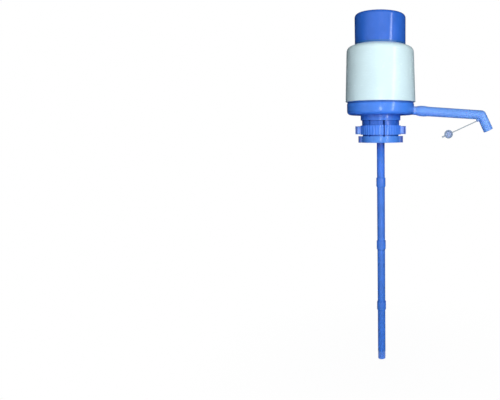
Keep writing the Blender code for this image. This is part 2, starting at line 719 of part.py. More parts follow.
def lock_ring(material):
    """Ring that slides down over the fingers to lock them, with fine grip ribs and two wings."""
    root = RING_RADIUS - RING_RIB_DEPTH
    rib = 2 * pi / RING_RIB_COUNT
    stations = []
    for i in range(RING_RIB_COUNT):
        start, rise, end = i * rib, (i + 1 - RING_RIB_SHARE) * rib, (i + 1) * rib
        stations += [(start, root), (rise, root), (rise, RING_RADIUS), (end, RING_RADIUS)]
    step = 2 * pi / len(stations)
    outer = [(radius * cos(angle), radius * sin(angle)) for angle, radius in stations]
    spokes = [(cos(step * i), sin(step * i)) for i in range(len(stations))]
    inner = [(RING_BORE_RADIUS * x, RING_BORE_RADIUS * y) for x, y in spokes]
    loops = [
        [(x, y, RING_FOOT) for x, y in outer],
        [(x, y, RING_TOP) for x, y in outer],
        [(x, y, RING_TOP) for x, y in inner],
        [(x, y, RING_FOOT) for x, y in inner],
    ]
    body = lofted("lock_ring", loops, material)
    wing_root, wing_reach = RING_BORE_RADIUS + RING_MARK_DEPTH, RING_RADIUS + WING_REACH
    wing_foot, wing_top = RING_FOOT + WING_RISE, RING_TOP - WING_DROP
    side_tabs(body, wing_root, wing_reach, wing_foot, wing_top)
    tab_pockets(body, wing_root, wing_reach, wing_foot, wing_top)
    cut(
        body,
        block(
            (RING_RADIUS - RING_MARK_DEPTH, -RING_MARK_WIDTH / 2, RING_FOOT - OVERRUN),
            (RING_RADIUS + OVERRUN, RING_MARK_WIDTH / 2, RING_TOP + OVERRUN),
            FIRST_SLOT_ANGLE,
        ),
    )
    return body


def spring_boss(foot, direction):
    """Outline corners of the ring that centres the spring on a plate, up or down from its face."""
    return [
        (SPRING_BOSS_RADIUS, foot),
        (SPRING_BOSS_RADIUS, foot + direction * SPRING_BOSS_HEIGHT),
        (SPRING_BOSS_RADIUS - SPRING_BOSS_WALL, foot + direction * SPRING_BOSS_HEIGHT),
        (SPRING_BOSS_RADIUS - SPRING_BOSS_WALL, foot),
    ]


def air_holes(body, low, high, centre_x):
    """The stem's hole and the ring of air holes that an umbrella valve covers."""
    cut(body, rod((centre_x, 0, low), (centre_x, 0, high), PIN_HOLE_RADIUS, SMALL_SIDES))
    for _, x, y in around(AIR_HOLE_COUNT, AIR_HOLE_CIRCLE_RADIUS):
        cut(body, rod((centre_x + x, y, low), (centre_x + x, y, high), AIR_HOLE_RADIUS, SMALL_SIDES))


def valve_plate(material):
    """Deck over the base, with the delivery valve's holes, the spring's seat and the screw holes."""
    body = turned(
        "valve_plate",
        [
            (0, PLATE_UNDER),
            (PLATE_RADIUS, PLATE_UNDER),
            (PLATE_RADIUS, PLATE_TOP),
            *spring_boss(PLATE_TOP, 1),
            (0, PLATE_TOP),
        ],
        ROUND_SIDES,
        material,
    )
    low, high = PLATE_UNDER - OVERRUN, PLATE_TOP + OVERRUN
    air_holes(body, low, high, -DELIVERY_VALVE_OFFSET)
    for _, x, y in around(SCREW_COUNT, SCREW_CIRCLE_RADIUS, pi / SCREW_COUNT):
        cut(body, rod((x, y, low), (x, y, high), SCREW_HOLE_RADIUS, SMALL_SIDES))
    return body


def deck_seal(material):
    """Flat seal between the base's ledge and the valve plate."""
    low = LEDGE_TOP + CLEARANCE
    return turned(
        "deck_seal",
        [
            (PLATE_RADIUS - DECK_SEAL_WIDTH, low),
            (PLATE_RADIUS, low),
            (PLATE_RADIUS, low + DECK_SEAL_THICKNESS),
            (PLATE_RADIUS - DECK_SEAL_WIDTH, low + DECK_SEAL_THICKNESS),
        ],
        ROUND_SIDES,
        material,
    )


def umbrella_valve(name, plate_under, plate_thickness, centre_x, material):
    """Rubber umbrella under a plate, with its stem through the plate and its bulb above."""
    seat = plate_under - CLEARANCE
    edge = seat - VALVE_EDGE
    bulb = plate_under + plate_thickness + CLEARANCE
    return turned(
        name,
        [
            (0, edge - VALVE_CROWN),
            (VALVE_HUB_DIAMETER / 2, edge - VALVE_CROWN),
            (VALVE_RADIUS, edge),
            (VALVE_RADIUS, seat),
            (VALVE_STEM_DIAMETER / 2, seat),
            (VALVE_STEM_DIAMETER / 2, bulb),
            (VALVE_BULB_DIAMETER / 2, bulb),
            (VALVE_BULB_DIAMETER / 2, bulb + VALVE_BULB_BELLY),
            (VALVE_STEM_DIAMETER / 2, bulb + VALVE_BULB_HEIGHT),
            (0, bulb + VALVE_BULB_HEIGHT),
        ],
        TUBE_SIDES,
        material,
        (centre_x, 0),
    )


def bellows(material):
    """Air bag: a clamped flange, its folds, and the collar that grips the top plate."""
    flange_top = BELLOWS_FOOT + BELLOWS_FLANGE_THICKNESS
    collar_foot = BELLOWS_TOP - BELLOWS_COLLAR_HEIGHT
    pitch = (collar_foot - flange_top) / BELLOWS_FOLDS
    crest, root, collar = BELLOWS_CREST_RADIUS, BELLOWS_ROOT_RADIUS, BELLOWS_COLLAR_RADIUS
    folds = [(root, flange_top)]
    for i in range(BELLOWS_FOLDS):
        folds += [(crest, flange_top + (i + 1 / 2) * pitch), (root, flange_top + (i + 1) * pitch)]
    inside = [(radius - BELLOWS_WALL, height) for radius, height in reversed(folds)]
    return turned(
        "bellows",
        [
            (BELLOWS_FLANGE_RADIUS, BELLOWS_FOOT),
            (BELLOWS_FLANGE_RADIUS, flange_top),
            *folds,
            (collar, collar_foot + BELLOWS_WALL),
            (collar, BELLOWS_TOP),
            (collar - BELLOWS_COLLAR_WALL, BELLOWS_TOP),
            (collar - BELLOWS_COLLAR_WALL, collar_foot + BELLOWS_WALL),
            *inside,
            (root - BELLOWS_WALL, BELLOWS_FOOT),
        ],
        INNER_SIDES,
        material,
    )


def bellows_clamp_ring(material):
    """Ring screwed down over the bellows' flange."""
    over_flange = BELLOWS_FOOT + BELLOWS_FLANGE_THICKNESS + CLEARANCE
    flange_space = BELLOWS_FLANGE_RADIUS + CLEARANCE
    body = turned(
        "bellows_clamp_ring",
        [
            (CLAMP_RING_BORE_RADIUS, over_flange),
            (flange_space, over_flange),
            (flange_space, BELLOWS_FOOT),
            (CLAMP_RING_RADIUS, BELLOWS_FOOT),
            (CLAMP_RING_RADIUS, CLAMP_TOP),
            (CLAMP_RING_BORE_RADIUS, CLAMP_TOP),
        ],
        INNER_SIDES,
        material,
    )
    for _, x, y in around(SCREW_COUNT, SCREW_CIRCLE_RADIUS, pi / SCREW_COUNT):
        ends = ((x, y, BELLOWS_FOOT - OVERRUN), (x, y, CLAMP_TOP + OVERRUN))
        cut(body, rod(*ends, SCREW_HOLE_RADIUS, SMALL_SIDES))
    return body


def base_screws(material):
    """Pan-head screws through the clamp ring and the valve plate into the base's bosses."""
    under_head = CLAMP_TOP + CLEARANCE
    foot = under_head - SCREW_LENGTH
    radius, head = SCREW_DIAMETER / 2, SCREW_HEAD_DIAMETER / 2
    for i, (_, x, y) in enumerate(around(SCREW_COUNT, SCREW_CIRCLE_RADIUS, pi / SCREW_COUNT)):
        turned(
            f"base_screw_{i + 1}",
            [
                (0, foot),
                (radius, foot + SCREW_POINT),
                (radius, under_head),
                (head, under_head),
                (head, under_head + SCREW_HEAD_HEIGHT - SCREW_HEAD_ROUND),
                (head - SCREW_HEAD_ROUND, under_head + SCREW_HEAD_HEIGHT),
                (0, under_head + SCREW_HEAD_HEIGHT),
            ],
            SMALL_SIDES,
            material,
            (x, y),
        )


def spring_points():
    """The wire's centre line: a closed turn at each end and open turns between."""
    low = PLATE_TOP + CLEARANCE + SPRING_WIRE / 2
    high = TOP_PLATE_UNDER - CLEARANCE - SPRING_WIRE / 2
    closed = SPRING_WIRE + SPRING_END_GAP
    rise = (high - low - 2 * closed) / SPRING_ACTIVE_TURNS
    points = []
    for i in range((SPRING_ACTIVE_TURNS + 2) * SPRING_TURN_POINTS + 1):
        turns = i / SPRING_TURN_POINTS
        opened = min(max(turns - 1, 0), SPRING_ACTIVE_TURNS)
        height = low + closed * (turns - opened) + rise * opened
        angle = 2 * pi * turns
        points.append(Vector((SPRING_RADIUS * cos(angle), SPRING_RADIUS * sin(angle), height)))
    return points


def return_spring(material):
    """Coil spring inside the bellows, one unbroken wire."""
    points = spring_points()
    curve = bpy.data.curves.new("return_spring", "CURVE")
    curve.dimensions = "3D"
    curve.bevel_depth = SPRING_WIRE / 2
    curve.bevel_resolution = 1
    curve.use_fill_caps = True
    curve.materials.append(material)
    wire = curve.splines.new("POLY")
    wire.points.add(len(points) - 1)
    for knot, place in zip(wire.points, points):
        knot.co = (*place, 1)
    body = bpy.data.objects.new("return_spring", curve)
    bpy.context.scene.collection.objects.link(body)
    apart = SPRING_TURN_POINTS // 2
    gap = min((a - b).length for i, a in enumerate(points) for b in points[i + apart :]) - SPRING_WIRE
    print(f"return_spring: least gap between turns {gap * 1000:.2f} mm")
    return body


def bellows_top_plate(material):
    """Plate that plugs the bellows' collar, with the intake holes and the spring's upper seat."""
    plug = BELLOWS_COLLAR_RADIUS - BELLOWS_COLLAR_WALL - CLEARANCE
    plug_foot = TOP_PLATE_UNDER - TOP_PLATE_PLUG_DEPTH
    body = turned(
        "bellows_top_plate",
        [
            (0, TOP_PLATE_TOP),
            (BELLOWS_COLLAR_RADIUS - EDGE_BREAK, TOP_PLATE_TOP),
            (BELLOWS_COLLAR_RADIUS, TOP_PLATE_TOP - EDGE_BREAK),
            (BELLOWS_COLLAR_RADIUS, TOP_PLATE_UNDER),
            (plug, TOP_PLATE_UNDER),
            (plug, plug_foot),
            (plug - TOP_PLATE_PLUG_WALL, plug_foot),
            (plug - TOP_PLATE_PLUG_WALL, TOP_PLATE_UNDER),
            *spring_boss(TOP_PLATE_UNDER, -1),
            (0, TOP_PLATE_UNDER),
        ],
        INNER_SIDES,
        material,
    )
    air_holes(body, TOP_PLATE_UNDER - OVERRUN, TOP_PLATE_TOP + OVERRUN, 0)
    return body


def housing_cover(material):
    """White shell: a drafted skirt that snaps on the base, a sloping shoulder and a guide collar."""
    shoulder = HOUSING_TOP - HOUSING_SHOULDER_DROP
    land = MOUTH_RADIUS + HOUSING_MOUTH_LAND
    collar = MOUTH_RADIUS + HOUSING_COLLAR_WALL
    collar_foot = HOUSING_TOP - HOUSING_COLLAR_DEPTH
    slope = Vector((HOUSING_SHOULDER_RADIUS - land, -HOUSING_SHOULDER_DROP)).normalized()
    ceiling = HOUSING_TOP + (collar - land) * slope.y / slope.x - HOUSING_WALL / slope.x
    groove_low = BASE_SHOULDER + SNAP_BEAD_HEIGHT - CLEARANCE
    groove_high = BASE_SHOULDER + SNAP_BEAD_HEIGHT + SNAP_BEAD_WIDTH + CLEARANCE
    inner_foot = HOUSING_FOOT_RADIUS - HOUSING_WALL
    inner_shoulder = HOUSING_SHOULDER_RADIUS - HOUSING_WALL, shoulder - HOUSING_WALL / 2
    body = turned(
        "housing_cover",
        [
            (MOUTH_RADIUS, HOUSING_TOP),
            (land, HOUSING_TOP, HOUSING_MOUTH_FILLET),
            (HOUSING_SHOULDER_RADIUS, shoulder, HOUSING_SHOULDER_FILLET),
            (HOUSING_FOOT_RADIUS, HOUSING_FOOT),
            (inner_foot, HOUSING_FOOT),
            (inner_foot, groove_low),
            (inner_foot + SNAP_BEAD, groove_low + SNAP_BEAD),
            (inner_foot + SNAP_BEAD, groove_high - SNAP_BEAD),
            (inner_foot, groove_high),
            (inner_foot, UPSTAND_TOP),
            (*inner_shoulder, HOUSING_SHOULDER_FILLET - HOUSING_WALL),
            (collar, ceiling),
            (collar, collar_foot),
            (MOUTH_RADIUS, collar_foot),
        ],
        ROUND_SIDES,
        material,
    )
    rib_tip = CAP_RADIUS + CAP_FLANGE_WIDTH - STOP_RIB_LAP
    for angle, _, _ in around(STOP_RIB_COUNT, 0, pi / STOP_RIB_COUNT):
        join(
            body,
            block(
                (rib_tip, -STOP_RIB_THICKNESS / 2, HOUSING_FOOT + STOP_RIB_FOOT),
                (HOUSING_SHOULDER_RADIUS, STOP_RIB_THICKNESS / 2, STOP_RIB_TOP),
                angle,
            ),
        )
    return body


def press_cap(material):
    """Domed cap with a sliding skirt, a retaining flange and the ring that drives the top plate."""
    inner = CAP_RADIUS - CAP_WALL
    edge_top = CAP_TOP - CAP_CROWN
    rib_outer, rib_inner = CAP_RIB_RADIUS, CAP_RIB_RADIUS - CAP_RIB_WALL
    ceiling = CAP_TOP - CAP_WALL
    crown = CAP_CROWN / CAP_RADIUS
    return turned(
        "press_cap",
        [
            (0, CAP_TOP),
            (CAP_RADIUS, edge_top, CAP_EDGE_FILLET),
            (CAP_RADIUS, CAP_FLANGE_TOP),
            (CAP_RADIUS + CAP_FLANGE_WIDTH, CAP_FLANGE_TOP),
            (CAP_RADIUS + CAP_FLANGE_WIDTH, CAP_FLANGE_UNDER),
            (inner, CAP_FLANGE_UNDER),
            (inner, edge_top - CAP_WALL, CAP_EDGE_FILLET - CAP_WALL),
            (rib_outer, ceiling - crown * rib_outer),
            (rib_outer, ceiling - CAP_RIB_DEPTH),
            (rib_inner, ceiling - CAP_RIB_DEPTH),
            (rib_inner, ceiling - crown * rib_inner),
            (0, ceiling),
        ],
        ROUND_SIDES,
        material,
    )


def dip_tubes(material):
    """Belled sections, each pushed into the bell below the last, the lowest cut to the jug's depth."""
    bore = TUBE_RADIUS - TUBE_WALL
    for i in range(TUBE_COUNT):
        top = TUBE_TOP - i * TUBE_PITCH
        full = TUBE_PITCH + BELL_DEPTH - CLEARANCE
        foot = top - (full if i < TUBE_COUNT - 1 else LOWEST_TUBE_LENGTH)
        turned(
            f"dip_tube_{i + 1}",
            [
                (BELL_RADIUS, top),
                (BELL_RADIUS, top - BELL_DEPTH),
                (TUBE_RADIUS, top - BELL_DEPTH - BELL_TAPER),
                (TUBE_RADIUS, foot),
                (bore, foot),
                (bore, top - BELL_DEPTH),
                (BELL_BORE_RADIUS, top - BELL_DEPTH),
                (BELL_BORE_RADIUS, top),
            ],
            TUBE_SIDES,
            material,
        )


def spout_path(distance):
    """Place on the spout's centre line, straight but for one bend, and the direction square to it."""
    arc = min(max((distance - SPOUT_TURN_START) / SPOUT_TURN_RADIUS, 0), SPOUT_TURN_ANGLE)
    beyond = distance - SPOUT_TURN_START - arc * SPOUT_TURN_RADIUS
    place = Vector(
        (
            SPOUT_TURN_START + SPOUT_TURN_RADIUS * sin(arc) + beyond * cos(arc),
            0,
            -SPOUT_TURN_RADIUS * (1 - cos(arc)) - beyond * sin(arc),
        )
    )
    return place, Vector((sin(arc), 0, cos(arc)))


def with_turn_stations(corners, start, end):
    """The same outline with a corner at each step of the bend, on the outer and inner skin alike."""
    stations = [start + (end - start) * i / SPOUT_TURN_STEPS for i in range(SPOUT_TURN_STEPS + 1)]
    full = []
    for here, following in zip(corners, corners[1:] + corners[:1]):
        full.append(here)
        low, high = sorted((here[0], following[0]))
        between = [station for station in stations if low + WELD < station < high - WELD]
        for station in between if here[0] < following[0] else reversed(between):
            share = (station - here[0]) / (following[0] - here[0])
            full.append((station, here[1] + share * (following[1] - here[1])))
    return full


def spout(material):
    """Belled outlet tube in its own frame, X along the nipple, with two ears for the cap's strap."""
    turn_end = SPOUT_TURN_START + SPOUT_TURN_RADIUS * SPOUT_TURN_ANGLE
    tip = turn_end + SPOUT_DROP - SPOUT_TURN_TANGENT
    tip_radius = SPOUT_BORE_RADIUS + SPOUT_TIP_WALL
    mouth_radius = SPOUT_SEAL_RADIUS + SPOUT_MOUTH_WALL
    seal_end = SPOUT_START + SPOUT_SEAL_DEPTH
    nipple_space = NIPPLE_END + CLEARANCE
    nipple_bore = DUCT_RADIUS + CLEARANCE
    bell_end = SPOUT_START + SPOUT_BELL_LENGTH
    corners = [
        (SPOUT_START, mouth_radius - EDGE_BREAK),
        (SPOUT_START + EDGE_BREAK, mouth_radius),
        (bell_end, SPOUT_SEAL_RADIUS + SPOUT_BELL_WALL),
        (bell_end + SPOUT_BELL_TAPER, SPOUT_BORE_RADIUS + SPOUT_ROOT_WALL),
        (SPOUT_TURN_START, SPOUT_NECK_RADIUS),
        (tip - SPOUT_TIP_FILLET, tip_radius),
        (tip, tip_radius - SPOUT_TIP_FILLET),
        (tip, SPOUT_BORE_RADIUS),
        (nipple_space, SPOUT_BORE_RADIUS),
        (nipple_space, nipple_bore),
        (seal_end, nipple_bore),
        (seal_end, SPOUT_SEAL_RADIUS),
        (SPOUT_START, SPOUT_SEAL_RADIUS),
    ]
    stations = with_turn_stations(corners, SPOUT_TURN_START, turn_end)
    body = along_path("spout", stations, spout_path, material)
    pin_x, pin_z = strap_pin()
    skin = -SPOUT_NECK_RADIUS + EAR_ROOT
    near = STRAP_EYE_WIDTH / 2 + CLEARANCE
    for side in (-1, 1):
        inner, outer = sorted((side * near, side * (near + EAR_THICKNESS)))
        join(
            body,
            rod((pin_x, inner, pin_z), (pin_x, outer, pin_z), EAR_RADIUS, TUBE_SIDES),
            block((pin_x - EAR_RADIUS, inner, pin_z), (pin_x + EAR_RADIUS, outer, skin)),
        )
    pin_reach = near + EAR_THICKNESS + OVERRUN
    pin_hole = STRAP_PIN_DIAMETER / 2 + CLEARANCE
    cut(body, rod((pin_x, -pin_reach, pin_z), (pin_x, pin_reach, pin_z), pin_hole, SMALL_SIDES))
    return body


def strap_pin():
    """The strap pin's place in the spout's own frame."""
    return SPOUT_TURN_START, -SPOUT_NECK_RADIUS - EAR_PIN_DROP


def spout_o_ring(material):
    """Round seal in the nipple's groove."""
    centre = NIPPLE_COLLAR_END + O_RING_GROOVE_PLACE + O_RING_GROOVE_WIDTH / 2
    section = O_RING_SECTION / 2
    middle = DUCT_RADIUS - O_RING_GROOVE_DEPTH + CLEARANCE / 2 + section
    angles = [2 * pi * i / O_RING_POINTS for i in range(O_RING_POINTS)]
    corners = [(centre + section * cos(angle), middle + section * sin(angle)) for angle in angles]
    return along_path("spout_o_ring", corners, straight_duct, material)


def outlet_cap(material):
    """Hollow stopper with its hub, flange, pull tab, strap and snap pin, the pin at its frame's origin."""
    half_width, half_height = STRAP_WIDTH / 2, STRAP_THICKNESS / 2
    plug = SPOUT_BORE_RADIUS - CLEARANCE
    flange = plug + STOPPER_LIP
    half_flange = STOPPER_FLANGE_THICKNESS / 2
    plug_end = half_flange + STOPPER_PLUG_LENGTH
    eye_half = STRAP_EYE_WIDTH / 2
    pin_half = eye_half + EAR_THICKNESS + 2 * CLEARANCE
    flange_ends = (STRAP_LENGTH, -half_flange, 0), (STRAP_LENGTH, half_flange, 0)
    body = rod(*flange_ends, flange, TUBE_SIDES, "outlet_cap")
    body.data.materials.append(material)
    join(
        body,
        rod((STRAP_LENGTH, 0, 0), (STRAP_LENGTH, plug_end, 0), plug, TUBE_SIDES),
        block(
            (0, -half_width, -half_height),
            (STRAP_LENGTH - flange + OVERRUN, half_width, half_height),
        ),
        block(
            (STRAP_LENGTH + flange - OVERRUN, -PULL_TAB_THICKNESS / 2, -PULL_TAB_WIDTH / 2),
            (STRAP_LENGTH + PULL_TAB_REACH, PULL_TAB_THICKNESS / 2, PULL_TAB_WIDTH / 2),
        ),
        rod((0, -eye_half, 0), (0, eye_half, 0), STRAP_EYE_DIAMETER / 2, SMALL_SIDES),
        rod((0, -pin_half, 0), (0, pin_half, 0), STRAP_PIN_DIAMETER / 2, SMALL_SIDES),
    )
    pocket = (STRAP_LENGTH, -half_flange - OVERRUN, 0), (STRAP_LENGTH, plug_end - STOPPER_WALL, 0)
    cut(body, rod(*pocket, plug - STOPPER_WALL, TUBE_SIDES))
    join(body, rod(flange_ends[0], (STRAP_LENGTH, plug_end, 0), STOPPER_HUB_DIAMETER / 2, SMALL_SIDES))
    return body


def joint_empty(name, parent=None, place=(0, 0, 0), pitch=0.0):
    """An empty on a joint's axis that carries the moving pieces."""
    empty = bpy.data.objects.new(name, None)
    bpy.context.scene.collection.objects.link(empty)
    empty.parent = parent
    empty.location = place
    empty.rotation_euler = (0, pitch, 0)
    return empty


def build():
    for old in list(bpy.data.objects):
        bpy.data.objects.remove(old)
    blue = plastic("blue plastic", (78, 130, 240), 0.35)
    cap_blue = plastic("cap blue plastic", (65, 118, 218), 0.3)
    tube_blue = plastic("clear blue plastic", (67, 122, 209), 0.2, 0.5)
    spout_blue = plastic("spout blue plastic", (120, 163, 238), 0.25, 0.2)
    white = plastic("white plastic", (240, 244, 246), 0.35)
    natural = plastic("natural plastic", (214, 218, 226), 0.4, 0.2)
    stopper = plastic("stopper plastic", (144, 164, 202), 0.3, 0.4)
    rubber = plastic("grey rubber", (178, 182, 188), 0.7)
    bright_steel = steel("bright steel")

    base_body(blue)
    neck_gasket(rubber)
    neck_collet(blue)
    deck_seal(rubber)
    valve_plate(white)
    umbrella_valve("delivery_valve", PLATE_UNDER, PLATE_THICKNESS, -DELIVERY_VALVE_OFFSET, rubber)
    bellows(natural)
    bellows_clamp_ring(white)
    base_screws(bright_steel)
    return_spring(bright_steel)
    housing_cover(white)
    dip_tubes(tube_blue)
    spout_o_ring(rubber)

    press_axis = joint_empty("press_axis")
    for moving in (
        press_cap(cap_blue),
        bellows_top_plate(white),
        umbrella_valve("intake_valve", TOP_PLATE_UNDER, TOP_PLATE_THICKNESS, 0, rubber),
    ):
        moving.parent = press_axis
    lock_ring(blue).parent = joint_empty("lock_axis")
    spout_axis = joint_empty("spout_axis", place=(0, 0, DUCT_HEIGHT), pitch=DUCT_SLOPE)
    spout(spout_blue).parent = spout_axis
    pin_x, pin_z = strap_pin()
    strap_axis = joint_empty("strap_axis", spout_axis, (pin_x, 0, pin_z), pi - STRAP_ANGLE - DUCT_SLOPE)
    outlet_cap(stopper).parent = strap_axis

    for body in bpy.data.objects:
        if body.type == "MESH":
            body.data.shade_smooth()
            body.data.set_sharp_from_angle(angle=radians(35))


build()
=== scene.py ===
# %% [markdown]
# # Water hand pump
# The slotted collar at the pump's foot is its clamp. A push on the cap shortens the bellows under it, the
# bellows drives air down through the clamp, and the air lifts water up the dip tube and out of the spout.
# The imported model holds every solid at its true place. This scene turns each solid that shows into a finer
# moulding.

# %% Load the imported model
import json
from math import cos, pi, radians, sin, sqrt, tan

import bmesh
import bpy
from mathutils import Matrix, Vector


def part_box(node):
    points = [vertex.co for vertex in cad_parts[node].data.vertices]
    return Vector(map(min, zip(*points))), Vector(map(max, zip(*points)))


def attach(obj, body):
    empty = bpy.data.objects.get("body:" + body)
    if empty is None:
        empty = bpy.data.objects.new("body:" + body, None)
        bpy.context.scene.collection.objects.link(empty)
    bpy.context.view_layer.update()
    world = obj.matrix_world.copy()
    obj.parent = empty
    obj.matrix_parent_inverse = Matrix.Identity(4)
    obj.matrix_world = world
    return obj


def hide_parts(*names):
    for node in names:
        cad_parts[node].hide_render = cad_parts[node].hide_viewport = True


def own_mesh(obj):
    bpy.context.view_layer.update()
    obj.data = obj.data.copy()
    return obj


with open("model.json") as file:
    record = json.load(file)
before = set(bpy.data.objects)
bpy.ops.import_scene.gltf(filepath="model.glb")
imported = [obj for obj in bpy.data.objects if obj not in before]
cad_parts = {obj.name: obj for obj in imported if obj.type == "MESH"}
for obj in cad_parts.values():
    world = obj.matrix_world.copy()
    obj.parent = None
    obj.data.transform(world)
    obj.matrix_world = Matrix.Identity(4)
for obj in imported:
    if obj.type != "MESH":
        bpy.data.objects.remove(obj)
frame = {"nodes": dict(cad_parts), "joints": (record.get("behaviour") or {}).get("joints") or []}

MM = 0.001
scene = bpy.context.scene
joints = {joint["name"]: joint for joint in frame["joints"]}
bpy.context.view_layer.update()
print("joints:", ", ".join(joints))

# %% [markdown]
# ## Camera
# The camera stands at the height of the clamp and looks down by a few degrees, with the pump right of the
# middle. The pump's uprights stay upright there, so the lens is shifted sideways and isn't turned. The
# pump leans to the left by a third of a degree, which is the camera's own roll. The focal length and the
# place of the pump's axis are given in pixels of the photograph.

# %% Place the camera
IMAGE_WIDTH = 500
FOCAL_PIXELS = 490
AXIS_PIXEL = 381.0
CAMERA_DISTANCE = 0.872
CAMERA_HEIGHT = -0.025
LOOK_DOWN = radians(7.84)
ROLL = radians(-0.3)

camera_data = bpy.data.cameras.new("camera")
camera_data.sensor_width = 36
camera_data.lens = FOCAL_PIXELS / IMAGE_WIDTH * camera_data.sensor_width
camera_data.shift_x = -(AXIS_PIXEL - IMAGE_WIDTH / 2) / IMAGE_WIDTH
camera = bpy.data.objects.new("camera", camera_data)
scene.collection.objects.link(camera)
aim = Matrix.Rotation(pi / 2 - LOOK_DOWN, 4, "X") @ Matrix.Rotation(ROLL, 4, "Z")
camera.matrix_world = Matrix.Translation((0, -CAMERA_DISTANCE, CAMERA_HEIGHT)) @ aim
scene.camera = camera
print(f"camera: lens {camera_data.lens:.1f} mm, shift {camera_data.shift_x:.3f}")

# %% [markdown]
# ## Backdrop, light and floor
# The photograph has a pure white ground. The world is white where the camera or a reflection looks at it,
# and a plain soft grey where it lights the pump, so the ground can be white and the plastic stays
# shaded. A Light Path node tells the two kinds of ray apart. Shader nodes are added and joined by three
# small helpers, so that each material below reads as a recipe.


# %% Write the first node helpers
def add_node(tree, kind, **settings):
    node = tree.nodes.new(kind)
    for key, value in settings.items():
        setattr(node, key, value)
    return node


def add_math(tree, operation, first, second, clamp=False):
    """A Math node on two sockets or numbers."""
    node = add_node(tree, "ShaderNodeMath", operation=operation, use_clamp=clamp)
    for socket, value in zip(node.inputs, (first, second)):
        if isinstance(value, (int, float)):
            socket.default_value = value
        else:
            tree.links.new(value, socket)
    return node.outputs[0]


def seen_rays(tree):
    """1 for camera, glossy and transmission rays, 0 for the rays that light a surface."""
    path = add_node(tree, "ShaderNodeLightPath")
    reflected = add_math(tree, "MAXIMUM", path.outputs["Is Glossy Ray"], path.outputs["Is Transmission Ray"])
    return add_math(tree, "MAXIMUM", path.outputs["Is Camera Ray"], reflected)


# %% Paint the world
AMBIENT_COLOUR, AMBIENT_STRENGTH = (0.93, 0.97, 1.0, 1), 0.13

scene.view_settings.view_transform = "Standard"
world = bpy.data.worlds.new("studio")
world.use_nodes = True
scene.world = world
tree = world.node_tree
tree.nodes.clear()
ambient = add_node(tree, "ShaderNodeBackground")
ambient.inputs["Color"].default_value = AMBIENT_COLOUR
ambient.inputs["Strength"].default_value = AMBIENT_STRENGTH
white = add_node(tree, "ShaderNodeBackground")
white.inputs["Color"].default_value = (1, 1, 1, 1)
white.inputs["Strength"].default_value = 1.0
chosen = add_node(tree, "ShaderNodeMixShader")
tree.links.new(seen_rays(tree), chosen.inputs["Fac"])
tree.links.new(ambient.outputs["Background"], chosen.inputs[1])
tree.links.new(white.outputs["Background"], chosen.inputs[2])
world_output = add_node(tree, "ShaderNodeOutputWorld")
tree.links.new(chosen.outputs["Shader"], world_output.inputs["Surface"])
print("world:", world.name, "with", len(tree.nodes), "nodes")

# %% [markdown]
# ### Lamps
# A big soft key just right of the camera gives the whole form, and a second one straight behind the pump
# lights its back as plainly. Three lamps only draw highlights. A narrow strip on the right gives the thin
# bright line down the cap, and it leans towards the camera at its foot, so the line falls nearer the middle
# on the wide base. A small lamp behind the camera gives the glints down the middle. A dim panel high on the
# right greys the cap's far side, because the photograph's cap is less deep in colour there.

# %% Hang the lamps
HEAD_CENTRE = Vector((0, 0, 60 * MM))


def soft_light(name, azimuth, elevation, distance, width, height, watts, lean=0.0):
    """An area light aimed at the pump's head, its azimuth counted from the camera towards the spout."""
    data = bpy.data.lights.new(name, "AREA")
    data.shape = "RECTANGLE"
    data.size, data.size_y = width, height
    data.energy = watts
    light = bpy.data.objects.new(name, data)
    scene.collection.objects.link(light)
    turn, rise = radians(azimuth), radians(elevation)
    towards = Vector((sin(turn) * cos(rise), -cos(turn) * cos(rise), sin(rise)))
    aim = towards.to_track_quat("Z", "Y").to_matrix().to_4x4()
    leaning = Matrix.Rotation(radians(lean), 4, "Z")
    light.matrix_world = Matrix.Translation(HEAD_CENTRE + distance * towards) @ aim @ leaning
    light.visible_camera = False
    return light


key = soft_light("key", azimuth=12, elevation=13, distance=1.9, width=1.1, height=0.9, watts=32.5)
back = soft_light("back", azimuth=186, elevation=8, distance=1.9, width=1.1, height=0.9, watts=24)
for lamp in (key, back):
    lamp.visible_glossy = False
strip = soft_light(
    "strip", azimuth=45.3, elevation=8.7, distance=1.25, width=0.09, height=1.0, watts=3.6, lean=-24
)
glint = soft_light("glint", azimuth=0, elevation=-4, distance=1.9, width=0.26, height=0.22, watts=2.2)
side_panel = soft_light(
    "side_panel", azimuth=95, elevation=33, distance=0.45, width=0.42, height=0.36, watts=0.3
)
for highlight in (strip, glint, side_panel):
    highlight.visible_diffuse = False
print("lamps:", ", ".join(lamp.name for lamp in (key, back, strip, glint, side_panel)))

# %% [markdown]
# ### Tent and card
# Every edge and underside is dark in the photograph. Glossy plastic mirrors what stands beside it, so a
# dark tent behind the pump takes the white out of the edges, and a dark blue card under the clamp keeps the
# pale floor's light off the undersides. The tent thins out towards the camera, or its rim would show as a
# step down the cap. The camera sees neither.

# %% Raise the tent and the card
TENT_RADIUS, TENT_THINS, TENT_ENDS = 0.43, -0.04, -0.3
CARD_RADIUS, CARD_HOLE, CARD_HEIGHT = 0.13, 0.02, -0.07
TENT_BLACK, CARD_BLUE = (0.01, 0.01, 0.012), (0.16, 0.38, 0.95)


def set_piece(name, bm, colour, unseen):
    """A piece of the studio in one dull colour, hidden from the kinds of ray given."""
    mesh = bpy.data.meshes.new(name)
    bm.to_mesh(mesh)
    bm.free()
    made = bpy.data.objects.new(name, mesh)
    scene.collection.objects.link(made)
    for ray in unseen:
        setattr(made, f"visible_{ray}", False)
    cloth = bpy.data.materials.new(name)
    cloth.use_nodes = True
    shader = cloth.node_tree.nodes["Principled BSDF"]
    shader.inputs["Base Color"].default_value = (*colour, 1)
    shader.inputs["Roughness"].default_value = 1.0
    mesh.materials.append(cloth)
    return made


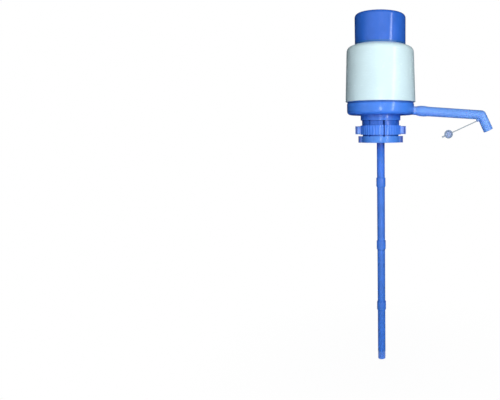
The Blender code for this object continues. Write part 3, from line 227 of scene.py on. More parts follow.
bm = bmesh.new()
bmesh.ops.create_icosphere(bm, subdivisions=4, radius=TENT_RADIUS)
everything = list(bm.verts) + list(bm.edges) + list(bm.faces)
bmesh.ops.bisect_plane(
    bm, geom=everything, plane_co=(0, TENT_ENDS, 0), plane_no=(0, -1, 0), clear_outer=True
)
tent = set_piece("dark_tent", bm, TENT_BLACK, ("camera", "diffuse", "transmission", "shadow"))
tree = tent.data.materials[0].node_tree
depth = add_node(tree, "ShaderNodeSeparateXYZ")
tree.links.new(add_node(tree, "ShaderNodeTexCoord").outputs["Object"], depth.inputs["Vector"])
thinning = add_node(tree, "ShaderNodeMapRange", interpolation_type="SMOOTHSTEP")
thinning.inputs["From Min"].default_value = TENT_ENDS
thinning.inputs["From Max"].default_value = TENT_THINS
tree.links.new(depth.outputs["Y"], thinning.inputs["Value"])
tree.links.new(thinning.outputs["Result"], tree.nodes["Principled BSDF"].inputs["Alpha"])

bm = bmesh.new()
bmesh.ops.create_circle(bm, cap_ends=False, segments=48, radius=CARD_RADIUS)
bmesh.ops.create_circle(bm, cap_ends=False, segments=48, radius=CARD_HOLE)
bmesh.ops.bridge_loops(bm, edges=list(bm.edges))
bmesh.ops.translate(bm, verts=bm.verts, vec=(0, 0, CARD_HEIGHT))
card = set_piece("dark_card", bm, CARD_BLUE, ("camera", "transmission", "shadow"))
print("set pieces:", tent.name, "and", card.name)

# %% [markdown]
# ### Floor
# The floor lies just under the foot of the dip tube. Near the pump it is a matt pale surface that takes
# the shadow, and further out it glows with a strength of 1 for the rays that look at it, so its edge melts
# into the white world.

# %% Lay the floor
FLOOR_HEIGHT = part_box("dip_tube_4")[0].z - 0.4 * MM
FLOOR_REACH = 8
FADE_FROM, FADE_TO, LEAST_GLOW = 0.1, 0.6, 0.86
FLOOR_COLOUR = (0.9, 0.9, 0.9, 1)

bm = bmesh.new()
bmesh.ops.create_grid(bm, x_segments=1, y_segments=1, size=FLOOR_REACH)
bmesh.ops.translate(bm, verts=bm.verts, vec=(0, 0, FLOOR_HEIGHT))
floor_mesh = bpy.data.meshes.new("floor")
bm.to_mesh(floor_mesh)
bm.free()
floor = bpy.data.objects.new("floor", floor_mesh)
scene.collection.objects.link(floor)
floor_paint = bpy.data.materials.new("pale floor")
floor_paint.use_nodes = True
tree = floor_paint.node_tree
tree.nodes.clear()
matt = add_node(tree, "ShaderNodeBsdfDiffuse")
matt.inputs["Color"].default_value = FLOOR_COLOUR
glow = add_node(tree, "ShaderNodeEmission")
glow.inputs["Strength"].default_value = 1.0
place = add_node(tree, "ShaderNodeTexCoord")
reach = add_node(tree, "ShaderNodeVectorMath", operation="LENGTH")
tree.links.new(place.outputs["Object"], reach.inputs[0])
fade = add_node(tree, "ShaderNodeMapRange", interpolation_type="SMOOTHSTEP")
fade.inputs["From Min"].default_value = FADE_FROM
fade.inputs["From Max"].default_value = FADE_TO
fade.inputs["To Min"].default_value = LEAST_GLOW
tree.links.new(reach.outputs["Value"], fade.inputs["Value"])
shown = add_math(tree, "MULTIPLY", fade.outputs["Result"], seen_rays(tree))
mixed = add_node(tree, "ShaderNodeMixShader")
tree.links.new(shown, mixed.inputs["Fac"])
tree.links.new(matt.outputs["BSDF"], mixed.inputs[1])
tree.links.new(glow.outputs["Emission"], mixed.inputs[2])
floor_output = add_node(tree, "ShaderNodeOutputMaterial")
tree.links.new(mixed.outputs["Shader"], floor_output.inputs["Surface"])
floor_mesh.materials.append(floor_paint)
print("floor at", round(FLOOR_HEIGHT, 4), "m")

# %% [markdown]
# ## Finishes
# Injection-moulded plastic is never one flat colour. The melt leaves broad, faint clouds of lighter and
# darker colour, the polished tool leaves a fine orange peel that breaks up reflections, and handling
# leaves hairline scuffs along the way that the piece slides or turns. Each finish is built from noise on
# Object coordinates at those three scales, so it holds on any side of the piece.


# %% Write the helpers for colour and noise
def tone(red, green, blue):
    """A display colour from 0 to 255, as the linear light that a shader reads."""
    parts = [shade / 255 for shade in (red, green, blue)]
    return [part / 12.92 if part <= 0.04045 else ((part + 0.055) / 1.055) ** 2.4 for part in parts]


def noise(tree, place, scale, detail=3.0, stretch=None):
    """Noise on the place given, its cells stretched by a Mapping node where asked."""
    if stretch:
        mapping = add_node(tree, "ShaderNodeMapping")
        mapping.inputs["Scale"].default_value = stretch
        tree.links.new(place, mapping.inputs["Vector"])
        place = mapping.outputs["Vector"]
    texture = add_node(tree, "ShaderNodeTexNoise")
    texture.inputs["Scale"].default_value = scale
    texture.inputs["Detail"].default_value = detail
    tree.links.new(place, texture.inputs["Vector"])
    return texture.outputs["Fac"]


def span(tree, value, low, high, to_low, to_high):
    """Maps a value from one span to another, held at both ends."""
    node = add_node(tree, "ShaderNodeMapRange")
    numbers = {"From Min": low, "From Max": high, "To Min": to_low, "To Max": to_high}
    for key, number in numbers.items():
        node.inputs[key].default_value = number
    tree.links.new(value, node.inputs["Value"])
    return node.outputs["Result"]


def blended(tree, factor, first, second):
    """A colour between two colours or sockets."""
    node = add_node(tree, "ShaderNodeMix", data_type="RGBA")
    sockets = [socket for socket in node.inputs if socket.type == "RGBA"]
    for socket, colour in zip(sockets, (first, second)):
        if isinstance(colour, (list, tuple)):
            socket.default_value = (*colour, 1)
        else:
            tree.links.new(colour, socket)
    tree.links.new(factor, node.inputs["Factor"])
    return next(socket for socket in node.outputs if socket.type == "RGBA")


print("a middle grey as linear light:", [round(part, 3) for part in tone(128, 128, 128)])


# %% [markdown]
# ### One recipe for moulded plastic
# All the finishes come from one recipe, so they look like parts of one product. The scuffs are the same
# noise with its cells stretched, up the piece, round it or along it, as the hand or the neighbour rubs.

# %% Write the recipe
STREAKS_UP = (26, 26, 1.2)
STREAKS_ROUND = (2.5, 2.5, 60)
STREAKS_ALONG = (1.5, 20, 20)
CLOUD_SCALE, HAIR_SCALE, POLISH_SCALE, PEEL_SCALE = 38, 34, 130, 900
CLOUD_SPAN, HAIR_SPAN, POLISH_SPAN = (0.35, 0.65), (0.6, 0.72), (0.3, 0.7)
WORN_GAIN, WORN_LIFT, CLOUD_LIFT = 1.12, 0.012, 0.004
HAIR_STRENGTH, HAIR_DULLING, HAIR_DEPTH, CREST_STRENGTH = 0.35, 0.12, 0.6, 0.5
PEEL_HEIGHT = 0.08 * MM


def moulded(name, colour, rough, clouds=0.05, peel=0.12, scuffs=STREAKS_UP, crest=None, **shader_values):
    """Moulded plastic: clouded colour, hairline scuffs and orange peel; crest lightens beyond a radius."""
    material = bpy.data.materials.new(name)
    material.use_nodes = True
    tree = material.node_tree
    shader = tree.nodes["Principled BSDF"]
    place = add_node(tree, "ShaderNodeTexCoord").outputs["Object"]
    broad = span(tree, noise(tree, place, CLOUD_SCALE, detail=4), *CLOUD_SPAN, 0, 1)
    dark = [part * (1 - clouds) for part in colour]
    light = [min(part * (1 + clouds) + CLOUD_LIFT, 1) for part in colour]
    shade = blended(tree, broad, dark, light)
    hairs = span(tree, noise(tree, place, HAIR_SCALE, 6, scuffs), *HAIR_SPAN, 0, 1)
    worn = [min(part * WORN_GAIN + WORN_LIFT, 1) for part in colour]
    faint = add_math(tree, "MULTIPLY", hairs, HAIR_STRENGTH)
    shade = blended(tree, faint, shade, worn)
    # With crest, the faces beyond the given radius blend towards the paler colour.
    if crest:
        split = add_node(tree, "ShaderNodeSeparateXYZ")
        tree.links.new(place, split.inputs["Vector"])
        squares = [add_math(tree, "POWER", split.outputs[axis], 2) for axis in ("X", "Y")]
        radius = add_math(tree, "SQRT", add_math(tree, "ADD", *squares), 0)
        crest_lift = span(tree, radius, *crest, 0, CREST_STRENGTH)
        shade = blended(tree, crest_lift, shade, worn)
    tree.links.new(shade, shader.inputs["Base Color"])
    polish = span(tree, noise(tree, place, POLISH_SCALE, detail=4), *POLISH_SPAN, *rough)
    dulled = add_math(tree, "ADD", polish, add_math(tree, "MULTIPLY", hairs, HAIR_DULLING), clamp=True)
    tree.links.new(dulled, shader.inputs["Roughness"])
    orange_peel = noise(tree, place, PEEL_SCALE, detail=2)
    relief = add_math(tree, "ADD", orange_peel, add_math(tree, "MULTIPLY", hairs, -HAIR_DEPTH))
    bump = add_node(tree, "ShaderNodeBump")
    bump.inputs["Strength"].default_value = peel
    bump.inputs["Distance"].default_value = PEEL_HEIGHT
    tree.links.new(relief, bump.inputs["Height"])
    tree.links.new(bump.outputs["Normal"], shader.inputs["Normal"])
    for key, number in shader_values.items():
        shader.inputs[key.replace("_", " ")].default_value = number
    return material


print("scuffs up, round and along:", STREAKS_UP, STREAKS_ROUND, STREAKS_ALONG)


# %% [markdown]
# ### The pump's finishes
# The pump uses four blues: a deep one for the cap, a brighter one for the body, and two paler ones for the
# thin spout and the tubes, which let light through. Thin tabs get painted light in the middle and painted
# shade at their edges, and other places get painted shade or a painted highlight as finishes of their own.

# %% Mix the blue finishes
CAP_BLUE = tone(44, 102, 204)
BODY_BLUE = tone(66, 131, 234)
SPOUT_BLUE = tone(108, 157, 238)
TUBE_BLUE = tone(74, 138, 236)
RIB_FLANKS = (34.9 * MM, 35.3 * MM)

cap_plastic = moulded("cap plastic", CAP_BLUE, (0.1, 0.17))
# Painted shade: a darker blue for the skirt's band just above the housing's mouth.
skirt_shade_plastic = moulded("skirt painted shade plastic", tone(44, 102, 173), (0.25, 0.35))
body_plastic = moulded("blue body plastic", BODY_BLUE, (0.14, 0.22), scuffs=STREAKS_ROUND)
ring_plastic = moulded(
    "ribbed ring plastic", BODY_BLUE, (0.16, 0.24), scuffs=STREAKS_ROUND, crest=RIB_FLANKS
)
# Painted light: a paler blue for the thin nipple and the sunk middle of the wings.
thin_painted_light_plastic = moulded(
    "thin plastic with painted light", tone(128, 164, 232), (0.25, 0.35), Subsurface_Weight=0.3, Subsurface_Scale=0.003
)
# Painted shade: a darker blue for the tabs on the rim and the edges of the wings.
tab_edge_shade_plastic = moulded("tab edge painted shade plastic", tone(70, 98, 172), (0.25, 0.35))
# Painted shade: a darker blue for the fingers between the spigot and the lock ring.
finger_shade_plastic = moulded("finger painted shade plastic", tone(48, 103, 197), (0.2, 0.3))
# Painted highlight: a paler blue for the rim's outer wall.
rim_highlight_plastic = moulded("rim painted highlight plastic", tone(81, 145, 233), (0.14, 0.22), scuffs=STREAKS_ROUND)
# Painted shade: a darker, matt blue for the reveal under the housing's foot.
reveal_shade_plastic = moulded("matt joint painted shade plastic", tone(44, 98, 186), (0.45, 0.55), scuffs=STREAKS_ROUND)
score_plastic = moulded("shaded score plastic", tone(26, 66, 150), (0.45, 0.55))
spout_plastic = moulded(
    "spout plastic",
    SPOUT_BLUE,
    (0.24, 0.34),
    clouds=0.03,
    peel=0.02,
    scuffs=STREAKS_ALONG,
    Subsurface_Weight=0.12,
    Subsurface_Scale=0.002,
)
tube_plastic = moulded("dip tube plastic", TUBE_BLUE, (0.12, 0.22), Transmission_Weight=0.35)
print("blue finishes:", sum(material.name.endswith("plastic") for material in bpy.data.materials))

# %% [markdown]
# ### White, pale and metal finishes
# The stopper and its strap are a soft milky plastic, so a little light goes in and comes out beside the
# place where it fell. Subsurface scattering gives that to the stopper, with a scale of a few millimetres,
# about as thick as these pieces. The spring and the screws are steel, and the seals are grey rubber without
# shine.

# %% Mix the other finishes
WHITE = tone(213, 238, 244)

white_plastic = moulded("white plastic", WHITE, (0.2, 0.28), clouds=0.012, scuffs=STREAKS_ROUND)
strap_plastic = moulded("strap plastic", tone(150, 160, 166), (0.3, 0.4))
stopper_plastic = moulded(
    "stopper plastic", tone(155, 173, 211), (0.3, 0.4), Subsurface_Weight=0.2, Subsurface_Scale=0.003
)
# Painted shade: a darker grey blue for the stopper's flange round its paler hub.
flange_shade_plastic = moulded("stopper flange painted shade plastic", tone(118, 138, 164), (0.3, 0.4))
natural_plastic = moulded(
    "bellows plastic", tone(214, 219, 226), (0.34, 0.46), Subsurface_Weight=0.3, Subsurface_Scale=0.005
)
rubber = moulded("grey seal rubber", tone(176, 180, 186), (0.6, 0.75), clouds=0.08, peel=0.4)
steel = moulded(
    "bright steel", tone(190, 192, 197), (0.18, 0.34), clouds=0.06, scuffs=STREAKS_ROUND, Metallic=1.0
)
print("materials in the scene:", len(bpy.data.materials))

# %% [markdown]
# ## Tools for turned and joined shapes
# Nearly every piece of the pump comes from a round tool, so its section is drawn once and spun about the
# axis. Corners get true fillets in the section itself, because a real moulding has no sharp edge and the
# fillet is what catches the light. All sections are drawn in millimetres, and the sizes that the packed
# model fixes are read from its boxes.


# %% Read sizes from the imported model
def measured(node):
    """The foot, the top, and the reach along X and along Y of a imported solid, in millimetres."""
    low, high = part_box(node)
    return [round(size / MM, 3) for size in (low.z, high.z, high.x, high.y)]


PLAY = 0.3
OVERRUN = 2.0
STROKE = round(joints["press_slide"]["range_m"][1] / MM, 3)
print("the cap goes down by", STROKE, "mm")


# %% Draw and spin sections
def filleted(corners, steps=5):
    """Outline points from (x, y) corners and (x, y, fillet) corners, each fillet an arc."""
    points = []
    for i, corner in enumerate(corners):
        here = Vector(corner[:2])
        if len(corner) == 2:
            points.append(here)
            continue
        back = (Vector(corners[i - 1][:2]) - here).normalized()
        ahead = (Vector(corners[(i + 1) % len(corners)][:2]) - here).normalized()
        half = back.angle(ahead) / 2
        centre = here + (back + ahead).normalized() * corner[2] / sin(half)
        start = here + back * corner[2] / tan(half) - centre
        turn = start.angle_signed(here + ahead * corner[2] / tan(half) - centre)
        for step in range(steps + 1):
            spoke = start.copy()
            spoke.rotate(Matrix.Rotation(-turn * step / steps, 2))
            points.append(centre + spoke)
    return points


def spun(corners, sides, centre=(0, 0)):
    """A bmesh of a section in millimetres, spun about a vertical through centre."""
    bm = bmesh.new()
    points = [bm.verts.new((point.x * MM, 0, point.y * MM)) for point in filleted(corners)]
    pairs = zip(points, points[1:] + points[:1])
    edges = [bm.edges.new(pair) for pair in pairs if any(point.co.x > 1e-6 for point in pair)]
    bmesh.ops.spin(
        bm, geom=points + edges, cent=(0, 0, 0), axis=(0, 0, 1), angle=2 * pi, steps=sides, use_merge=True
    )
    bmesh.ops.translate(bm, verts=bm.verts, vec=(centre[0] * MM, centre[1] * MM, 0))
    return bm


# %% [markdown]
# ### Bars, blocks and swept walls
# Slots, tabs and bores start as bars and blocks. A wall that follows a bent line starts as one circle, which
# is extruded edge by edge from ring to ring and closed by a bridge.


# %% Make bars and blocks
def rod(start, end, radius, sides):
    """A bmesh of a round bar between two points in millimetres."""
    start, end = Vector(start) * MM, Vector(end) * MM
    along = (end - start).to_track_quat("Z", "X").to_matrix().to_4x4()
    bm = bmesh.new()
    bmesh.ops.create_cone(
        bm,
        cap_ends=True,
        segments=sides,
        radius1=radius * MM,
        radius2=radius * MM,
        depth=(end - start).length,
        matrix=Matrix.Translation((start + end) / 2) @ along,
    )
    return bm


def box(low, high, turn=0.0, upright_fillet=0.0, fillet_ends=(1,)):
    """A bmesh of a box in millimetres, turned about the axis, with fillets up the chosen X ends."""
    low, high = Vector(low) * MM, Vector(high) * MM
    bm = bmesh.new()
    bmesh.ops.create_cube(bm, size=1)
    if upright_fillet:
        edges = [
            edge
            for edge in bm.edges
            if abs(edge.verts[0].co.z - edge.verts[1].co.z) > 0.5
            and any(edge.verts[0].co.x * end > 0 for end in fillet_ends)
        ]
    bmesh.ops.scale(bm, verts=bm.verts, vec=high - low)
    bmesh.ops.translate(bm, verts=bm.verts, vec=(low + high) / 2)
    if upright_fillet:
        bmesh.ops.bevel(
            bm,
            geom=edges,
            offset=upright_fillet * MM,
            offset_type="OFFSET",
            segments=6,
            profile=0.5,
            affect="EDGES",
            material=-1,
        )
    bmesh.ops.rotate(bm, verts=bm.verts, matrix=Matrix.Rotation(turn, 3, "Z"))
    return bm


# %% Sweep a closed wall
def swept(rings, sides):
    """A bmesh of a closed tube wall through rings of (centre, up, radius), all in the plane Y = 0."""
    side = Vector((0, 1, 0))
    matrices = []
    for centre, up, radius in rings:
        along = up.cross(side)
        turn = Matrix((up * radius * MM, side * radius * MM, along * MM)).transposed().to_4x4()
        matrices.append(Matrix.Translation(centre * MM) @ turn)
    bm = bmesh.new()
    bmesh.ops.create_circle(bm, cap_ends=False, segments=sides, radius=1, matrix=matrices[0])
    first = edges = list(bm.edges)
    for before, after in zip(matrices, matrices[1:]):
        grown = bmesh.ops.extrude_edge_only(bm, edges=edges)["geom"]
        points = {item for item in grown if isinstance(item, bmesh.types.BMVert)}
        grown_edges = [item for item in grown if isinstance(item, bmesh.types.BMEdge)]
        edges = [edge for edge in grown_edges if set(edge.verts) <= points]
        bmesh.ops.transform(bm, matrix=after @ before.inverted(), verts=list(points))
    bmesh.ops.bridge_loops(bm, edges=first + edges)
    return bm


# %% [markdown]
# ### Joining, cutting and finishing
# Booleans join the tabs and cut the slots. An exact boolean can leave slivers far thinner than a hair where
# two faces nearly meet, so they are merged away before the next step. At the end each piece is painted,
# shaded smooth up to its sharp edges and hung on the body that it rides on, and the imported solids that it
# replaces are hidden.

# %% Join and cut
SLIVER = 0.005 * MM


def as_object(name, bm):
    """A new object at the origin, with the bmesh as its mesh."""
    bmesh.ops.remove_doubles(bm, verts=bm.verts, dist=1e-6)
    bmesh.ops.recalc_face_normals(bm, faces=bm.faces)
    mesh = bpy.data.meshes.new(name)
    bm.to_mesh(mesh)
    bm.free()
    made = bpy.data.objects.new(name, mesh)
    scene.collection.objects.link(made)
    return made


def worked(made, operation, *tools):
    """Joins tools to a shape (UNION) or cuts them out of it (DIFFERENCE), then drops sliver faces."""
    for tool in tools:
        cutter = as_object("tool", tool)
        modifier = made.modifiers.new("tool", "BOOLEAN")
        modifier.operation = operation
        modifier.solver = "EXACT"
        modifier.object = cutter
        shaped = bpy.data.meshes.new_from_object(made.evaluated_get(bpy.context.evaluated_depsgraph_get()))
        made.modifiers.remove(modifier)
        made.data = shaped
        bpy.data.objects.remove(cutter)
    bm = bmesh.new()
    bm.from_mesh(made.data)
    bmesh.ops.remove_doubles(bm, verts=bm.verts, dist=SLIVER)
    bmesh.ops.dissolve_degenerate(bm, edges=bm.edges, dist=SLIVER)
    bmesh.ops.holes_fill(bm, edges=[edge for edge in bm.edges if edge.is_boundary], sides=0)
    bmesh.ops.recalc_face_normals(bm, faces=bm.faces)
    bm.to_mesh(made.data)
    bm.free()
    print(f"{made.name}: {operation.lower()} with {len(tools)} tools")


# %% Paint and finish
def repainted(made, material, chosen):
    """Gives a further material to the faces whose centre, in millimetres, is chosen."""
    made.data.materials.append(material)
    faces = [face for face in made.data.polygons if chosen(face.center / MM)]
    for face in faces:
        face.material_index = len(made.data.materials) - 1
    print(f"{made.name}: {len(faces)} faces in {material.name}")


def finished(made, body, nodes, material, edge=0.0, sharp=32):
    """Paints a piece, rounds its last edges, lets it ride on its body and stand for its nodes."""
    mesh = made.data
    mesh.materials.clear()
    mesh.materials.append(material)
    mesh.shade_smooth()
    mesh.set_sharp_from_angle(angle=radians(sharp))
    if edge:
        bevel = made.modifiers.new("soft edges", "BEVEL")
        bevel.width = edge * MM
        bevel.segments = 2
        bevel.limit_method = "ANGLE"
        bevel.angle_limit = radians(sharp)
        bevel.harden_normals = True
    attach(made, body)
    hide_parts(*nodes)
    print(f"{made.name}: {len(mesh.polygons)} faces")


# %% [markdown]
# ## Press cap
# The cap is the blue dome that the palm pushes. It has a barely domed top with a generous edge, a
# straight skirt that slides in the housing, and at its foot a flange that the housing's collar catches.
# The dome is a shallow arc of a section, so the light rolls across the top and doesn't stop at a cone.
# The skirt gets painted shade in a band just above the mouth, and a little of that band shows at rest.

# %% Spin the press cap
CAP_FOOT, CAP_TOP, FLANGE_RADIUS, _ = measured("press_cap")
FLANGE_WIDTH, FLANGE_THICKNESS = 4.3, 2.7
CAP_WALL, CAP_CROWN, CAP_FILLET, CROWN_STEP = 2.2, 1.8, 6, 6
RIB_RADIUS, RIB_WALL, RIB_DROP = 22.34, 2.0, 4.2
EDGE_BREAK = 0.3
SHADE_BAND_TOP = 126.0

CAP_RADIUS = FLANGE_RADIUS - FLANGE_WIDTH
CAP_BORE = CAP_RADIUS - CAP_WALL
CEILING = CAP_TOP - CAP_WALL
CEILING_BEND = 33


def crown(radius, top=CAP_TOP):
    """A point of the shallow dome, which falls with the square of its radius."""
    return radius, top - CAP_CROWN * (radius / CAP_RADIUS) ** 2


cap = as_object(
    "cap_moulding",
    spun(
        [
            *(crown(radius) for radius in range(0, int(CAP_RADIUS - CAP_FILLET), CROWN_STEP)),
            (CAP_RADIUS, CAP_TOP - CAP_CROWN, CAP_FILLET),
            (CAP_RADIUS, SHADE_BAND_TOP),
            (CAP_RADIUS, CAP_FOOT + FLANGE_THICKNESS, EDGE_BREAK),
            (FLANGE_RADIUS, CAP_FOOT + FLANGE_THICKNESS, EDGE_BREAK),
            (FLANGE_RADIUS, CAP_FOOT, EDGE_BREAK),
            (CAP_BORE, CAP_FOOT),
            (CAP_BORE, CEILING - CAP_CROWN, CAP_FILLET - CAP_WALL),
            crown(CEILING_BEND, CEILING),
            crown(RIB_RADIUS, CEILING),
            (RIB_RADIUS, CEILING - RIB_DROP),
            (RIB_RADIUS - RIB_WALL, CEILING - RIB_DROP),
            crown(RIB_RADIUS - RIB_WALL, CEILING),
            crown(0, CEILING),
        ],
        sides=128,
    ),
)
finished(cap, "press", ["press_cap"], cap_plastic)
# Painted shade: the skirt's band just above the mouth is darker.
repainted(cap, skirt_shade_plastic, lambda centre: centre.z < SHADE_BAND_TOP)

# %% [markdown]
# ## Housing cover
# The white shell snaps over the base. Its wall has a slight draft so that it leaves the tool, its
# shoulder rolls over in a large radius, and a narrow lip surrounds the mouth that the cap slides in. The
# groove of the snap goes round its foot, and the bead of the base clicks into it, so one function draws both.

# %% Spin the housing
HOUSING_FOOT, MOUTH_TOP, HOUSING_RADIUS, _ = measured("housing_cover")
_, UPSTAND_TOP, _, BASE_RADIUS = measured("base_body")
HOUSING_WALL, HOUSING_DRAFT = 2.9, 3.1
HOUSING_BORE = HOUSING_RADIUS - HOUSING_WALL
SHOULDER_RADIUS, SHOULDER_FILLET = HOUSING_RADIUS - HOUSING_DRAFT, 10
SHOULDER_TOP = MOUTH_TOP - 5.1
MOUTH_RADIUS, MOUTH_LAND, MOUTH_FILLET = CAP_RADIUS + 0.5, 1.0, 1.2
LIP_THICKNESS = 3.6
COLLAR_WALL, COLLAR_DEPTH = 2.2, 8.2
SNAP_HEIGHT, SNAP_DEPTH, GROOVE_HALF, BEAD_HALF = 31.3, 0.7, 1.2, 0.9


def snap(radius, half_width):
    """The bead or the groove of the snap joint, drawn upwards on a wall of this radius."""
    flat = half_width - SNAP_DEPTH
    return [
        (radius, SNAP_HEIGHT - half_width),
        (radius + SNAP_DEPTH, SNAP_HEIGHT - flat),
        (radius + SNAP_DEPTH, SNAP_HEIGHT + flat),
        (radius, SNAP_HEIGHT + half_width),
    ]


housing = as_object(
    "housing_moulding",
    spun(
        [
            (MOUTH_RADIUS, MOUTH_TOP, 0.4),
            (MOUTH_RADIUS + MOUTH_LAND, MOUTH_TOP, MOUTH_FILLET),
            (SHOULDER_RADIUS, SHOULDER_TOP, SHOULDER_FILLET),
            (HOUSING_RADIUS, HOUSING_FOOT, 0.5),
            (HOUSING_BORE, HOUSING_FOOT, EDGE_BREAK),
            *snap(HOUSING_BORE, GROOVE_HALF),
            (HOUSING_BORE, UPSTAND_TOP),
            (SHOULDER_RADIUS - HOUSING_WALL, SHOULDER_TOP - HOUSING_WALL / 2, SHOULDER_FILLET - HOUSING_WALL),
            (MOUTH_RADIUS + COLLAR_WALL, MOUTH_TOP - LIP_THICKNESS),
            (MOUTH_RADIUS + COLLAR_WALL, MOUTH_TOP - COLLAR_DEPTH),
            (MOUTH_RADIUS, MOUTH_TOP - COLLAR_DEPTH, 0.4),
        ],
        sides=128,
    ),
)

# %% Add the stop ribs
STOP_RIBS, STOP_RIB_HALF, STOP_RIB_LAP, STOP_RIB_FOOT = 6, 0.9, 0.8, 9.5

rib_low = (FLANGE_RADIUS - STOP_RIB_LAP, -STOP_RIB_HALF, HOUSING_FOOT + STOP_RIB_FOOT)
rib_high = (SHOULDER_RADIUS, STOP_RIB_HALF, CAP_FOOT - STROKE - PLAY)
between_ribs = 2 * pi / STOP_RIBS
stop_ribs = [box(rib_low, rib_high, (i + 0.5) * between_ribs) for i in range(STOP_RIBS)]
worked(housing, "UNION", *stop_ribs)
finished(housing, "base", ["housing_cover"], white_plastic)

# %% [markdown]
# ## Base moulding
# The blue disc under the housing carries everything: the spigot that grips the collet, the riser that
# the dip tube pushes on, the sloping duct and the nipple for the spout. The shoulder stands a little
# below the housing's foot, so a narrow reveal runs round the joint. Its wall has a matt finish with
# painted shade, a darker colour for the shadow under the housing's foot. The thin nipple has painted
# light, a paler colour than the disc.

# %% Spin the base
RISER_FOOT = measured("base_body")[0]
DISC_FOOT = measured("neck_gasket")[1] + PLAY
LEDGE_TOP, DECK = measured("deck_seal")[0] - PLAY, measured("deck_seal")[1]
BASE_FLOOR, BASE_FILLET, BASE_INNER_FILLET, REVEAL_FOOT = 2.4, 6, 3, 24.1
UPSTAND_RADIUS, UPSTAND_WALL = HOUSING_BORE - PLAY, 2.2
BASE_BORE = UPSTAND_RADIUS - UPSTAND_WALL
FLOOR_TOP = DISC_FOOT + BASE_FLOOR
LEDGE_RADIUS, LEDGE_LIP, LEDGE_TAPER = BASE_BORE - 4.4, 1.4, 3.0
SPIGOT_BORE, SPIGOT_WALL, SPIGOT_FOOT = 31.9, 3.0, -4.0
BEAD_SEAT, BEAD_SEAT_LOW, BEAD_SEAT_HIGH = SPIGOT_BORE + 0.6, -0.1, 2.3
WELL_RADIUS = 12.0

base = as_object(
    "base_moulding",
    spun(
        [
            (UPSTAND_RADIUS, UPSTAND_TOP, 0.4),
            *reversed(snap(UPSTAND_RADIUS, BEAD_HALF)),
            (UPSTAND_RADIUS, REVEAL_FOOT),
            (BASE_RADIUS, REVEAL_FOOT, 0.35),
            (BASE_RADIUS, DISC_FOOT, BASE_FILLET),
            (SPIGOT_BORE + SPIGOT_WALL, DISC_FOOT, 0.8),
            (SPIGOT_BORE + SPIGOT_WALL, SPIGOT_FOOT, 0.5),
            (SPIGOT_BORE, SPIGOT_FOOT),
            (SPIGOT_BORE, BEAD_SEAT_LOW),
            (BEAD_SEAT, BEAD_SEAT_LOW),
            (BEAD_SEAT, BEAD_SEAT_HIGH),
            (SPIGOT_BORE, BEAD_SEAT_HIGH),
            (SPIGOT_BORE, DISC_FOOT),
            (WELL_RADIUS, DISC_FOOT),
            (WELL_RADIUS, FLOOR_TOP),
            (BASE_BORE, FLOOR_TOP, BASE_INNER_FILLET),
            (BASE_BORE, LEDGE_TOP - LEDGE_LIP - LEDGE_TAPER),
            (LEDGE_RADIUS, LEDGE_TOP - LEDGE_LIP),
            (LEDGE_RADIUS, LEDGE_TOP),
            (BASE_BORE, LEDGE_TOP),
            (BASE_BORE, UPSTAND_TOP, 0.4),
        ],
        sides=128,
    ),
)

# %% [markdown]
# ### Duct, webs and screw bosses
# The water climbs the riser and leaves by the duct, which falls a little on its way out, so no water stays
# in it. Thin webs hold both on the floor, and four hollow bosses take the screws. Everything is joined
# first and bored afterwards, so that each bore runs clean through all that it meets.

# %% Lay out the duct and the bosses
SLOPE = radians(4.0)
DUCT_HEIGHT = round(joints["spout_turn"]["pos_m"][2] / MM, 3)
TUBE_RADIUS, RISER_BORE = 7.0, 4.4
DUCT_RADIUS, DUCT_BORE, NIPPLE_END = 6.35, 4.6, 82.0
SPOUT_START, SPOUT_GAP = 62.8, 0.4
COLLAR_START, COLLAR_RADIUS = BASE_RADIUS - 4.0, DUCT_RADIUS + 1.1
GROOVE_START, GROOVE_END = 70.0, 72.4
GROOVE_FLOOR, GROOVE_OUTSIDE = DUCT_RADIUS - 1.2, DUCT_RADIUS + OVERRUN
WEB_START, WEB_HALF = WELL_RADIUS - 1.8, 1
WEB_FOOT, WEB_TOP = DISC_FOOT + BASE_FLOOR / 2, 13.02
CROSS_REACH, CROSS_FOOT = 18, 11.3
SCREWS, BOSS_RADIUS, SCREW_HOLE, SCREW_SPARE = 4, 3.4, 1.8, 1.2


def on_duct(distance):
    """A point on the sloping duct's axis, in millimetres."""
    return distance * cos(SLOPE), 0, DUCT_HEIGHT - distance * sin(SLOPE)


def duct_line(distance):
    """The same point, and the direction square to the duct."""
    return Vector(on_duct(distance)), Vector((sin(SLOPE), 0, cos(SLOPE)))


def upright(place, low, high, radius, sides):
    """A bmesh of an upright bar at a place in plan."""
    return rod((*place, low), (*place, high), radius, sides)


def middle(node):
    """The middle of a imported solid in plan, in millimetres."""
    low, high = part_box(node)
    return [round((low[i] + high[i]) / 2 / MM, 3) for i in range(2)]


groove = [
    (GROOVE_START, GROOVE_OUTSIDE),
    (GROOVE_START, GROOVE_FLOOR),
    (GROOVE_END, GROOVE_FLOOR),
    (GROOVE_END, GROOVE_OUTSIDE),
]
bosses = [middle(f"base_screw_{i + 1}") for i in range(SCREWS)]
SCREW_TIP, SCREW_TOP, *_ = measured("base_screw_1")
print("screw bosses at", bosses)

